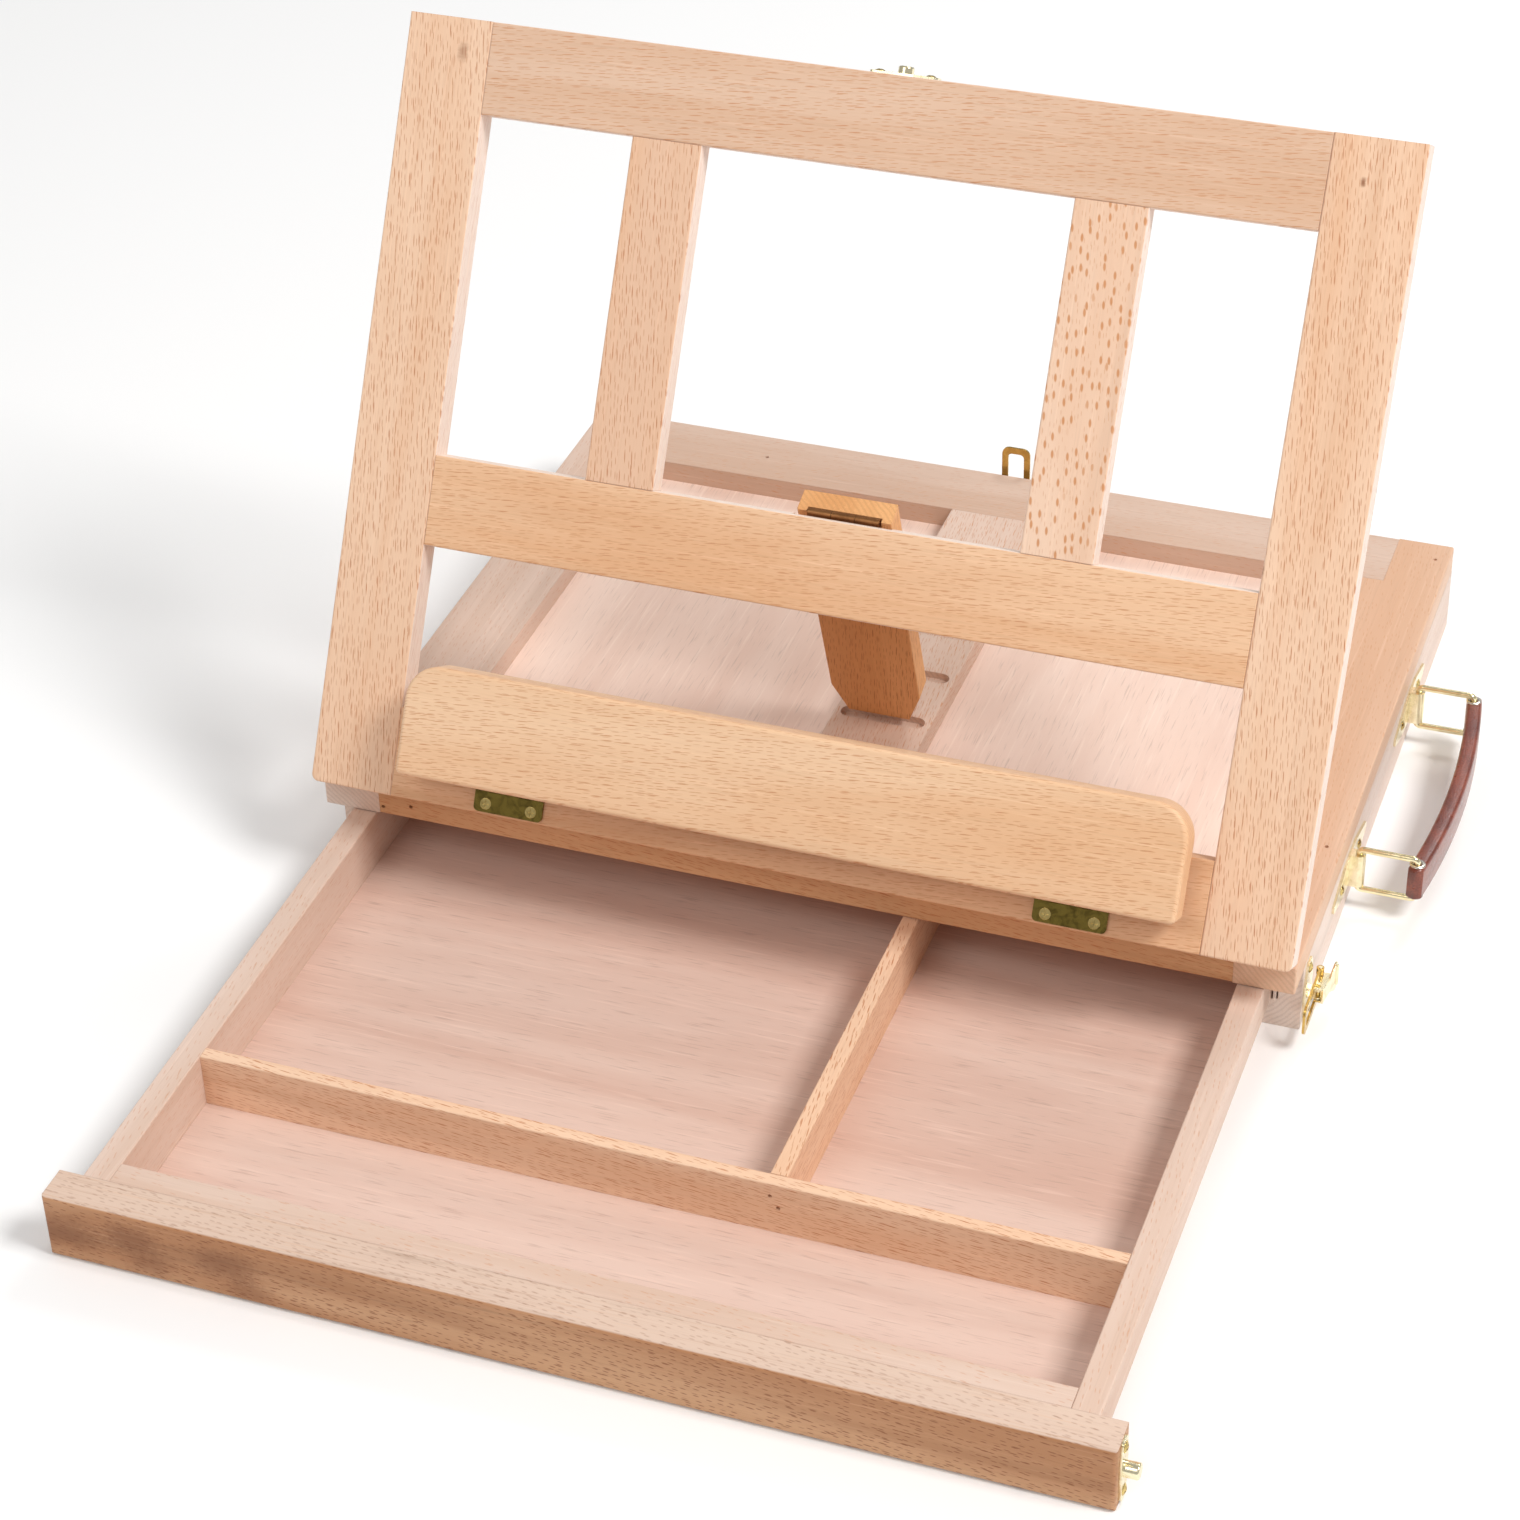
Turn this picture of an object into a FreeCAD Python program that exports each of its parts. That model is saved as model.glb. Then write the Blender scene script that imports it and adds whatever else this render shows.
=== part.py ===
import FreeCAD, Part
import math
import os

# A table-top box easel: a shallow beech box whose drawer pulls out towards -Y, with a canvas frame
# hinged along the top front edge. A prop board hangs from the frame's crossbar over a grooved board.
# Millimetres. Origin: middle of the back wall's underside. +X right, +Y back, +Z up.

Vector = FreeCAD.Vector
AXIS_X = Vector(1, 0, 0)
AXIS_Y = Vector(0, 1, 0)
AXIS_Z = Vector(0, 0, 1)

# Box
WIDTH = 400.0
DEPTH = 306.0
WALL_HEIGHT = 29.0
WALL_THICKNESS = 11.0
RUNNER_HEIGHT = 12.5      # the walls are thicker below this height, and the drawer rides on the step
RUNNER_THICKNESS = 17.0
BACK_THICKNESS = 12.0
STOCK = 12.0              # thickness of the top's rails and of the canvas frame
RAIL_WIDTH = 35.0
RAIL_LAP = 11.0           # the cross rails run this far into the side rails
PANEL_THICKNESS = 2.5
PANEL_REBATE = 6.0
FRONT_OVERHANG = 15.0     # the top reaches past the wall ends by the drawer front's thickness
KERF_WIDTH = 0.7
KERF_LENGTH = 24.0

# Grooved board under the prop
RATCHET_WIDTH = 41.0
RATCHET_X = 2.0
GROOVE_COUNT = 5
GROOVE_FIRST = 109.0      # from the box's front face to the middle of the first groove
GROOVE_PITCH = 33.5
GROOVE_LENGTH = 36.0
GROOVE_WIDTH = 7.5
GROOVE_DEPTH = 3.0

# Drawer
DRAWER_OPEN = 245.3
DRAWER_FRONT_WIDTH = 395.0
DRAWER_CLEARANCE = 0.5
DRAWER_SIDE_THICKNESS = 10.5
DRAWER_SIDE_GAP = 0.8     # between the drawer's sides and the walls
DRAWER_STEP = 5.0         # depth of the step that rides on the runner
DRAWER_FLOOR_Z = 2.6
DRAWER_FLOOR_THICKNESS = 3.0
DRAWER_INNER_FRONT = 10.0
DRAWER_BACK_THICKNESS = 10.0
CROSS_DIVIDER_SETBACK = 86.5   # from the drawer front's face
CROSS_DIVIDER_THICKNESS = 5.5
LONG_DIVIDER_X = 48.6
LONG_DIVIDER_THICKNESS = 6.5
NAIL_RADIUS = 0.8
NAIL_DEPTH = 1.6

# Canvas frame, measured along its length (s, from its hinge pins) and from its back face (n)
TILT = 60.4
FRAME_LENGTH = 306.0
STILE_WIDTH = 35.0
CROSS_WIDTH = 36.0
CROSSBAR_S = 100.0
UPRIGHT_WIDTH = 28.5
UPRIGHT_X = 87.8
UPRIGHT_THICKNESS = 10.0

# Butt hinges
HINGE_WIDTH = 29.0
LEAF_LENGTH = 10.0
LEAF_THICKNESS = 1.0
LEAF_GAP = 0.2
SWING_ROOM = 2.8          # radius kept free round the prop hinge's knuckles
KNUCKLE_RADIUS = 1.7
HINGE_PIN_RADIUS = 0.9
PIN_CLEARANCE = 0.05
KNUCKLE_CLEARANCE = 0.15
FRAME_HINGE_X = 130.0
FRAME_PIN_SETBACK = 1.0   # behind the box's front face
LEDGE_HINGE_X = 114.5
LEDGE_PIN_S = 10.0

# Prop board, folded up into the window above the crossbar when the easel is shut
PROP_X = 1.0
PROP_WIDTH = 38.0
PROP_THICKNESS = 10.0
PROP_SLOPE = 71.0         # below horizontal
PROP_FOOT_CLEARANCE = 2.2
PROP_PIN_N = 2.0
PROP_SETBACK = 1.4        # from the hinge pin to the crossbar
PROP_END = -0.5           # the prop's end face, just past the pin, so that it hides the knuckles
PROP_FRAME_LEAF_N = 0.3   # the frame's leaf is let into the crossbar's back face this deep
PROP_HEEL_RADIUS = 3.5    # hollow in the crossbar's corner for the swinging prop
PROP_TAPER_WIDTH = 6.0
PROP_TAPER_LENGTH = 16.0

# Ledge
LEDGE_WIDTH = 314.5
LEDGE_HEIGHT = 44.6
LEDGE_THICKNESS = 13.0
LEDGE_GAP = 5.4           # between the frame and the ledge, where a board's lower edge can stand
LEDGE_CORNER = 14.0

# Screws
HEAD_RADIUS = 2.3
HEAD_HEIGHT = 0.9
SHANK_RADIUS = 1.2
SHANK_LENGTH = 7.0
CROSS_WIDTH_SMALL = 0.6
CROSS_DEPTH = 0.5

# Carrying handle on the right-hand side
HANDLE_SPACING = 117.6
HANDLE_SETBACK = 155.3    # from the box's front face to the middle of the handle
HANDLE_Z = 19.0
RING_WIRE = 1.3
RING_REACH = 23.0
RING_HEIGHT = 19.2
RING_CORNER = 1.8
BRACKET_LENGTH = 60.0
BRACKET_HALF_WIDTH = 7.0
BRACKET_TIP = 1.6
BRACKET_SHOULDER = 10.0   # half the length of its widest part
BRACKET_SCREW_SPACING = 32.0
PLATE_THICKNESS = 1.0
TUNNEL_RADIUS = 2.6
TUNNEL_LENGTH = 15.0
RING_AXIS_OFFSET = 4.2
RUNNING_CLEARANCE = 0.1
STRAP_WIDTH = 15.0
STRAP_THICKNESS = 6.6
STRAP_END_RADIUS = 4.3
STRAP_RISE = 5.0
FERRULE_RADIUS = 3.0
FERRULE_CLEARANCE = 0.3

# Draw latches: p towards the keeper, w across, o out from the wood
LATCH_REACH = 16.0        # from the plate's centre to the keeper's stud
LATCH_PLATE_LENGTH = 27.0
LATCH_PLATE_WIDTH = 12.0
LATCH_TIP_WIDTH = 6.0
LATCH_SHOULDER = 4.0      # half the length of its widest part
LATCH_SCREW_SPACING = 20.0
LATCH_PIVOT = (2.0, 5.0)
LATCH_TRUNNION = (-5.0, 2.9)
EAR_RADIUS = 1.6
EAR_THICKNESS = 0.8
EAR_GAP = 0.2             # between an ear and the lever's cheek
LATCH_PIN_RADIUS = 0.8
LATCH_REST_ANGLE = 8.0    # the lever stands this far open
LEVER_HALF_WIDTH = 3.2
LEVER_SHEET = 0.8
LEVER_NOSE = 1.9          # past the pin
LEVER_NECK = 4.0          # from the plate's centre to where the thumb tab starts to widen
LEVER_TAIL = 12.0
LEVER_TAIL_EDGE = 2.4     # length of the tab's widest part
LEVER_LIP_RADIUS = 0.8
LEVER_TAIL_HALF_WIDTH = 6.5
LOOP_HALF_WIDTH = 6.5
LOOP_WINDOW_HALF_WIDTH = 3.7
LOOP_SHEET = 1.0
LOOP_BAND = 3.0
LOOP_SLACK = 0.5
LOOP_CORNER = 3.4
LOOP_EYE_RADIUS = 1.5
STUD_RADIUS = 3.0
STUD_HEIGHT = 3.4
STUD_RISE = 2.5           # the drawer front is this much narrower, so its stud is longer
KEEPER_WIDTH = 8.0

# Places worked out from the sizes above
REAR_Y = BACK_THICKNESS / 2
FRONT_Y = REAR_Y - DEPTH
TOP_Z = WALL_HEIGHT + STOCK
WALL_FRONT_Y = FRONT_Y + FRONT_OVERHANG
PANEL_TOP_Z = WALL_HEIGHT + PANEL_THICKNESS
HINGE_Y = FRONT_Y + FRAME_PIN_SETBACK
HINGE_Z = TOP_Z + LEAF_THICKNESS + LEAF_GAP / 2
BACK_FACE_Z = HINGE_Z + LEAF_THICKNESS + LEAF_GAP / 2   # the frame's back face when it is shut
FRAME_FRONT_S = -FRAME_PIN_SETBACK
CROSSBAR_TOP_S = CROSSBAR_S + CROSS_WIDTH
FRAME_TOP_S = FRAME_FRONT_S + FRAME_LENGTH
TOP_RAIL_S = FRAME_TOP_S - CROSS_WIDTH
LEAF_OFFSET = LEAF_GAP / 2 + LEAF_THICKNESS             # from a pin to a leaf's outer face
PROP_PIN_S = CROSSBAR_TOP_S + PROP_SETBACK
LEDGE_PIN_N = STOCK + LEAF_OFFSET
DRAWER_HALF_WIDTH = WIDTH / 2 - WALL_THICKNESS - DRAWER_SIDE_GAP
HANDLE_Y = FRONT_Y + HANDLE_SETBACK


def block(x0, x1, y0, y1, z0, z1):
    return Part.makeBox(x1 - x0, y1 - y0, z1 - z0, Vector(x0, y0, z0))


def rod(centre, axis, radius, length):
    """Cylinder centred on a point."""
    start = centre - axis * (length / 2)
    return Part.makeCylinder(radius, length, start, axis)


def prism(outline, direction):
    """Solid from a closed outline of points, pushed along a direction."""
    wire = Part.makePolygon(outline + [outline[0]])
    return Part.Face(wire).extrude(direction)


def ease(shape, radius, chosen):
    """Round the straight edges that chosen(start, end) picks."""
    edges = [e for e in shape.Edges if chosen(e.Vertexes[0].Point, e.Vertexes[-1].Point)]
    return shape.makeFillet(radius, edges)


def along(axis):
    """Pick the edges that run along x, y or z."""
    def chosen(a, b):
        d = b - a
        return abs(getattr(d, axis)) > 0.99 * d.Length
    return chosen


def turned(shape, centre, axis, degrees):
    result = shape.copy()
    result.rotate(centre, axis, degrees)
    return result


def moved(shape, offset):
    result = shape.copy()
    result.translate(offset)
    return result


# Canvas frame coordinates

def frame_block(x0, x1, s0, s1, n0, n1):
    """Block in the shut frame: s along it from the hinge pins, n up from its back face."""
    return block(x0, x1, HINGE_Y + s0, HINGE_Y + s1, BACK_FACE_Z + n0, BACK_FACE_Z + n1)


def frame_point(x, s, n):
    """Point of the shut frame."""
    return Vector(x, HINGE_Y + s, BACK_FACE_Z + n)


def tilted(shape):
    """Raise something from the shut frame to the working tilt."""
    return turned(shape, Vector(0, HINGE_Y, HINGE_Z), AXIS_X, TILT)


def tilted_point(x, s, n):
    angle = math.radians(TILT)
    rise = BACK_FACE_Z - HINGE_Z + n
    y = HINGE_Y + s * math.cos(angle) - rise * math.sin(angle)
    z = HINGE_Z + s * math.sin(angle) + rise * math.cos(angle)
    return Vector(x, y, z)


# Fasteners

def cross_recess(top):
    arm = HEAD_RADIUS * 0.62
    half = CROSS_WIDTH_SMALL / 2
    low = top - CROSS_DEPTH
    return block(-arm, arm, -half, half, low, top).fuse(block(-half, half, -arm, arm, low, top))


def screw():
    """Cross-recess wood screw: its head sits on z = 0 and it points down."""
    cap_radius = (HEAD_RADIUS ** 2 + HEAD_HEIGHT ** 2) / (2 * HEAD_HEIGHT)
    dome = Part.makeSphere(cap_radius, Vector(0, 0, HEAD_HEIGHT - cap_radius))
    head = dome.common(Part.makeCylinder(HEAD_RADIUS, HEAD_HEIGHT))
    shank = Part.makeCylinder(SHANK_RADIUS, SHANK_LENGTH, Vector(0, 0, -SHANK_LENGTH), AXIS_Z)
    return head.fuse(shank).cut(cross_recess(HEAD_HEIGHT)).removeSplitter()


def flush_head():
    """Conical head that fills a leaf's countersink, its flat top on z = 0."""
    return Part.makeCone(SHANK_RADIUS, HEAD_RADIUS, LEAF_THICKNESS, Vector(0, 0, -LEAF_THICKNESS))


def flush_screw():
    """Cross-recess screw that ends level with a hinge leaf's face."""
    recess = cross_recess(0)
    shank = Part.makeCylinder(SHANK_RADIUS, SHANK_LENGTH, Vector(0, 0, -SHANK_LENGTH), AXIS_Z)
    return flush_head().fuse(shank).cut(recess).removeSplitter()


def placed(shape, position, outward):
    """Stand a shape made on z = 0 at a position, with its +Z turned to the outward direction."""
    result = shape.copy()
    result.Placement = FreeCAD.Placement(position, FreeCAD.Rotation(AXIS_Z, outward))
    return result


def screws_at(spots):
    """One domed screw for each (position, outward) pair."""
    return [placed(screw(), position, outward) for position, outward in spots]


def flush_screws_at(spots):
    return [placed(flush_screw(), position, outward) for position, outward in spots]


def pilot_holes(spots):
    """Holes that the screws' shanks fill, from under the head."""
    cutter = Part.makeCylinder(SHANK_RADIUS, SHANK_LENGTH, Vector(0, 0, -SHANK_LENGTH), AXIS_Z)
    return [placed(cutter, position, outward) for position, outward in spots]


def drilled(shape, spots):
    return shape.cut(pilot_holes(spots)) if spots else shape


def nail_holes(shape, points, outward):
    cutters = [rod(point, outward, NAIL_RADIUS, 2 * NAIL_DEPTH) for point in points]
    return shape.cut(cutters)


# Butt hinge

def leaf_screw_spots(face):
    """Screw places on a leaf made flat along +Y, on its countersunk face at this height."""
    return [Vector(x, 0.66 * LEAF_LENGTH, face) for x in (-0.33 * HINGE_WIDTH, 0.33 * HINGE_WIDTH)]


def butt_leaf(side, knuckles, first, face, room=KNUCKLE_RADIUS + KNUCKLE_CLEARANCE):
    """Hinge leaf with its pin along X through the origin and its plate along +Y.

    The plate runs from its countersunk face to the given side, +1 up or -1 down. The leaf has every
    second knuckle, from the given first one, and leaves room round the other leaf's.
    """
    half = HINGE_WIDTH / 2
    back = face + side * LEAF_THICKNESS
    plate = block(-half, half, 0, LEAF_LENGTH, min(face, back), max(face, back))
    leaf = ease(plate, 2.0, lambda a, b: along("z")(a, b) and a.y > LEAF_LENGTH - 0.1)
    pitch = HINGE_WIDTH / knuckles
    for index in range(knuckles):
        centre = Vector(-half + (index + 0.5) * pitch, 0, 0)
        if index % 2 == first:
            leaf = leaf.fuse(rod(centre, AXIS_X, KNUCKLE_RADIUS, pitch - KNUCKLE_CLEARANCE))
        else:
            leaf = leaf.cut(rod(centre, AXIS_X, room, pitch + KNUCKLE_CLEARANCE))
    leaf = leaf.cut(rod(Vector(0, 0, 0), AXIS_X, HINGE_PIN_RADIUS + PIN_CLEARANCE, 2 * HINGE_WIDTH))
    holes = [placed(flush_head(), spot, Vector(0, 0, -side)) for spot in leaf_screw_spots(face)]
    return leaf.cut(holes).removeSplitter()


def hinge_pin():
    return rod(Vector(0, 0, 0), AXIS_X, HINGE_PIN_RADIUS, HINGE_WIDTH)


def knuckle_room(x, y, z, length, radius=KNUCKLE_RADIUS + 0.4):
    return rod(Vector(x, y, z), AXIS_X, radius, length)


# Box

def side_wall(side):
    """Side wall with the step that carries the drawer, and a saw kerf in its front end."""
    outline = [
        Vector(WIDTH / 2, WALL_FRONT_Y, 0),
        Vector(WIDTH / 2 - RUNNER_THICKNESS, WALL_FRONT_Y, 0),
        Vector(WIDTH / 2 - RUNNER_THICKNESS, WALL_FRONT_Y, RUNNER_HEIGHT),
        Vector(WIDTH / 2 - WALL_THICKNESS, WALL_FRONT_Y, RUNNER_HEIGHT),
        Vector(WIDTH / 2 - WALL_THICKNESS, WALL_FRONT_Y, WALL_HEIGHT),
        Vector(WIDTH / 2, WALL_FRONT_Y, WALL_HEIGHT),
    ]
    wall = prism(outline, Vector(0, REAR_Y - WALL_FRONT_Y, 0))
    wall = ease(wall, 0.6, lambda a, b: along("y")(a, b) and a.x > WIDTH / 2 - 0.1 and a.z < 0.1)
    kerf_x = WIDTH / 2 - WALL_THICKNESS + 1.2
    kerf = block(kerf_x, kerf_x + KERF_WIDTH, WALL_FRONT_Y - 1, WALL_FRONT_Y + KERF_LENGTH,
                 RUNNER_HEIGHT + 0.5, WALL_HEIGHT - 1.0)
    wall = wall.cut(kerf)
    if side < 0:
        wall = wall.mirror(Vector(0, 0, 0), AXIS_X)
    return wall


def back_wall():
    inner = WIDTH / 2 - RUNNER_THICKNESS
    return block(-inner, inner, REAR_Y - BACK_THICKNESS, REAR_Y, 0, WALL_HEIGHT)


def panel_rebate():
    inner = WIDTH / 2 - RAIL_WIDTH + PANEL_REBATE
    front = FRONT_Y + RAIL_WIDTH - PANEL_REBATE
    rear = REAR_Y - RAIL_WIDTH + PANEL_REBATE
    return block(-inner, inner, front, rear, WALL_HEIGHT, PANEL_TOP_Z)


def side_rail(side):
    """Side rail of the top, with its inner corners cut back for the cross rails."""
    rail = block(WIDTH / 2 - RAIL_WIDTH, WIDTH / 2, FRONT_Y, REAR_Y, WALL_HEIGHT, TOP_Z)
    rail = ease(rail, 0.8, lambda a, b: a.x > WIDTH / 2 - 0.1 and b.x > WIDTH / 2 - 0.1)
    lap = WIDTH / 2 - RAIL_WIDTH + RAIL_LAP
    for y0, y1 in ((FRONT_Y - 1, FRONT_Y + RAIL_WIDTH), (REAR_Y - RAIL_WIDTH, REAR_Y + 1)):
        rail = rail.cut(block(0, lap, y0, y1, WALL_HEIGHT - 1, TOP_Z + 1))
    if side < 0:
        rail = rail.mirror(Vector(0, 0, 0), AXIS_X)
    rail = rail.cut(panel_rebate())
    nails = [Vector(side * (WIDTH / 2 - 6.0), y, TOP_Z) for y in (REAR_Y - 12.0, FRONT_Y + 78.0)]
    return nail_holes(rail, nails, AXIS_Z)


def cross_rail(y0, face_y):
    """Front or rear rail of the top."""
    lap = WIDTH / 2 - RAIL_WIDTH + RAIL_LAP
    rail = block(-lap, lap, y0, y0 + RAIL_WIDTH, WALL_HEIGHT, TOP_Z)
    rail = ease(rail, 0.8, lambda a, b: along("x")(a, b) and abs(a.y - face_y) < 0.1)
    return rail.cut(panel_rebate())


def frame_hinge_recess(x):
    """Room for a frame hinge's knuckles in the top's front edge."""
    return knuckle_room(x, HINGE_Y, HINGE_Z, HINGE_WIDTH + 1.0)


def front_rail():
    rail = cross_rail(FRONT_Y, FRONT_Y)
    for side in (-1, 1):
        rail = rail.cut(frame_hinge_recess(side * FRAME_HINGE_X))
    lap = WIDTH / 2 - RAIL_WIDTH + RAIL_LAP
    nails = [Vector(-lap + 1.6, FRONT_Y, WALL_HEIGHT + 3.4), Vector(-lap + 14.0, FRONT_Y, WALL_HEIGHT + 6.0)]
    return nail_holes(rail, nails, AXIS_Y)


def rear_rail():
    rail = cross_rail(REAR_Y - RAIL_WIDTH, REAR_Y)
    nails = [Vector(-WIDTH * 0.28, REAR_Y - RAIL_WIDTH / 2, TOP_Z)]
    return nail_holes(rail, nails, AXIS_Z)


def top_panel():
    return panel_rebate()


def ratchet_board():
    """Board with the stopped grooves that the prop's foot stands in."""
    half = RATCHET_WIDTH / 2
    board = block(RATCHET_X - half, RATCHET_X + half, FRONT_Y + RAIL_WIDTH, REAR_Y - RAIL_WIDTH,
                  PANEL_TOP_Z, TOP_Z)
    board = ease(board, 0.6, lambda a, b: along("y")(a, b) and a.z > TOP_Z - 0.1)
    radius = GROOVE_WIDTH / 2
    straight = GROOVE_LENGTH / 2 - radius
    for index in range(GROOVE_COUNT):
        y = FRONT_Y + GROOVE_FIRST + index * GROOVE_PITCH
        floor = TOP_Z - GROOVE_DEPTH
        slot = block(RATCHET_X - straight, RATCHET_X + straight, y - radius, y + radius, floor, TOP_Z + 1)
        for end in (-straight, straight):
            centre = Vector(RATCHET_X + end, y, floor)
            slot = slot.fuse(Part.makeCylinder(radius, GROOVE_DEPTH + 1, centre, AXIS_Z))
        board = board.cut(slot)
    return board.removeSplitter()


# Drawer, placed as it stands when it is pulled out

def drawer_out(shape):
    return moved(shape, Vector(0, -DRAWER_OPEN, 0))


def drawer_top():
    return WALL_HEIGHT - DRAWER_CLEARANCE


def drawer_front():
    half = DRAWER_FRONT_WIDTH / 2
    board = block(-half, half, FRONT_Y, WALL_FRONT_Y - 0.3, DRAWER_CLEARANCE, drawer_top())
    board = ease(board, 1.6, lambda a, b: a.y < FRONT_Y + 0.1 and b.y < FRONT_Y + 0.1)
    return drawer_out(board)


def drawer_side(side):
    """Drawer side, stepped along its lower outer edge to ride on the wall's step."""
    y0 = WALL_FRONT_Y - 0.3
    y1 = REAR_Y - BACK_THICKNESS - 1.0
    outer = DRAWER_HALF_WIDTH
    inner = outer - DRAWER_SIDE_THICKNESS
    board = block(inner, outer, y0, y1, DRAWER_CLEARANCE + 0.3, drawer_top())
    board = ease(board, 0.6, lambda a, b: along("y")(a, b) and a.z > drawer_top() - 0.1)
    step_x = WIDTH / 2 - RUNNER_THICKNESS - DRAWER_SIDE_GAP
    step = block(step_x, outer + 1, y0 - 1, y1 + 1, 0, RUNNER_HEIGHT + 0.3)
    board = board.cut(step)
    floor = block(0, inner + 3.0, y0 - 1, y1 + 1, 0, DRAWER_FLOOR_Z + DRAWER_FLOOR_THICKNESS)
    board = board.cut(floor)
    if side < 0:
        board = board.mirror(Vector(0, 0, 0), AXIS_X)
    return drawer_out(board)


def drawer_cross_board(y0, thickness):
    """Board between the drawer's sides, down to the floor."""
    inner = DRAWER_HALF_WIDTH - DRAWER_SIDE_THICKNESS
    floor_top = DRAWER_FLOOR_Z + DRAWER_FLOOR_THICKNESS
    board = block(-inner, inner, y0, y0 + thickness, floor_top, drawer_top())
    return ease(board, 0.5, lambda a, b: along("x")(a, b) and a.z > drawer_top() - 0.1)


def drawer_inner_front():
    return drawer_out(drawer_cross_board(WALL_FRONT_Y - 0.3, DRAWER_INNER_FRONT))


def drawer_back():
    y1 = REAR_Y - BACK_THICKNESS - 1.0
    return drawer_out(drawer_cross_board(y1 - DRAWER_BACK_THICKNESS, DRAWER_BACK_THICKNESS))


def drawer_divider_cross():
    y0 = FRONT_Y + CROSS_DIVIDER_SETBACK
    board = drawer_cross_board(y0, CROSS_DIVIDER_THICKNESS)
    nails = [Vector(LONG_DIVIDER_X + x, y0, drawer_top() - drop) for x, drop in ((-1.6, 6.0), (1.4, 11.0))]
    return drawer_out(nail_holes(board, nails, AXIS_Y))


def drawer_divider_long():
    half = LONG_DIVIDER_THICKNESS / 2
    y0 = FRONT_Y + CROSS_DIVIDER_SETBACK + CROSS_DIVIDER_THICKNESS
    y1 = REAR_Y - BACK_THICKNESS - 1.0 - DRAWER_BACK_THICKNESS
    floor_top = DRAWER_FLOOR_Z + DRAWER_FLOOR_THICKNESS
    board = block(LONG_DIVIDER_X - half, LONG_DIVIDER_X + half, y0, y1, floor_top, drawer_top())
    board = ease(board, 0.5, lambda a, b: along("y")(a, b) and a.z > drawer_top() - 0.1)
    return drawer_out(board)


def drawer_floor():
    half = DRAWER_HALF_WIDTH - DRAWER_SIDE_THICKNESS + 3.0
    y1 = REAR_Y - BACK_THICKNESS - 1.0
    return drawer_out(block(-half, half, WALL_FRONT_Y - 0.3, y1, DRAWER_FLOOR_Z,
                            DRAWER_FLOOR_Z + DRAWER_FLOOR_THICKNESS))


# Canvas frame

def frame_stile(side):
    stile = frame_block(WIDTH / 2 - STILE_WIDTH, WIDTH / 2, FRAME_FRONT_S, FRAME_TOP_S, 0, STOCK)
    outer = WIDTH / 2 - 0.1
    bottom = HINGE_Y + FRAME_FRONT_S + 0.1
    stile = ease(stile, 3.0, lambda a, b: along("z")(a, b) and a.x > outer and a.y < bottom)
    stile = ease(stile, 0.8, lambda a, b: along("y")(a, b))
    if side < 0:
        stile = stile.mirror(Vector(0, 0, 0), AXIS_X)
    return stile


def frame_cross(s0):
    """Cross member between the stiles."""
    half = WIDTH / 2 - STILE_WIDTH
    rail = frame_block(-half, half, s0, s0 + CROSS_WIDTH, 0, STOCK)
    return ease(rail, 0.8, along("x"))


def bottom_rail():
    """Bottom rail, hollowed for the knuckles of the frame's and the ledge's hinges."""
    rail = frame_cross(FRAME_FRONT_S)
    for side in (-1, 1):
        knuckle = frame_point(side * LEDGE_HINGE_X, LEDGE_PIN_S, LEDGE_PIN_N)
        rail = rail.cut(frame_hinge_recess(side * FRAME_HINGE_X))
        rail = rail.cut(knuckle_room(knuckle.x, knuckle.y, knuckle.z, HINGE_WIDTH + 1.0))
    return rail


def crossbar():
    """Crossbar, hollowed along its top back corner for the prop, its hinge leaf let into the back."""
    pin = frame_point(PROP_X, PROP_PIN_S, PROP_PIN_N)
    heel = knuckle_room(pin.x, pin.y, pin.z, PROP_WIDTH + 2.0, PROP_HEEL_RADIUS)
    half = HINGE_WIDTH / 2
    recess = frame_block(PROP_X - half, PROP_X + half, PROP_PIN_S - LEAF_LENGTH, PROP_PIN_S,
                         -1.0, PROP_FRAME_LEAF_N + LEAF_THICKNESS)
    return frame_cross(CROSSBAR_S).cut([heel, recess])


def frame_upright(side):
    x0 = side * UPRIGHT_X - UPRIGHT_WIDTH / 2
    upright = frame_block(x0, x0 + UPRIGHT_WIDTH, CROSSBAR_TOP_S, TOP_RAIL_S,
                          STOCK - UPRIGHT_THICKNESS, STOCK)
    return ease(upright, 0.8, along("y"))


# Prop: made pointing along +Y from its pin at the origin, then swung down and hung from the frame

def prop_length():
    pin = tilted_point(PROP_X, PROP_PIN_S, PROP_PIN_N)
    drop = pin.z - TOP_Z - PROP_FOOT_CLEARANCE
    return drop / math.sin(math.radians(PROP_SLOPE))


def hung(shape):
    pin = tilted_point(PROP_X, PROP_PIN_S, PROP_PIN_N)
    return moved(turned(shape, Vector(0, 0, 0), AXIS_X, -PROP_SLOPE), pin)


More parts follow.
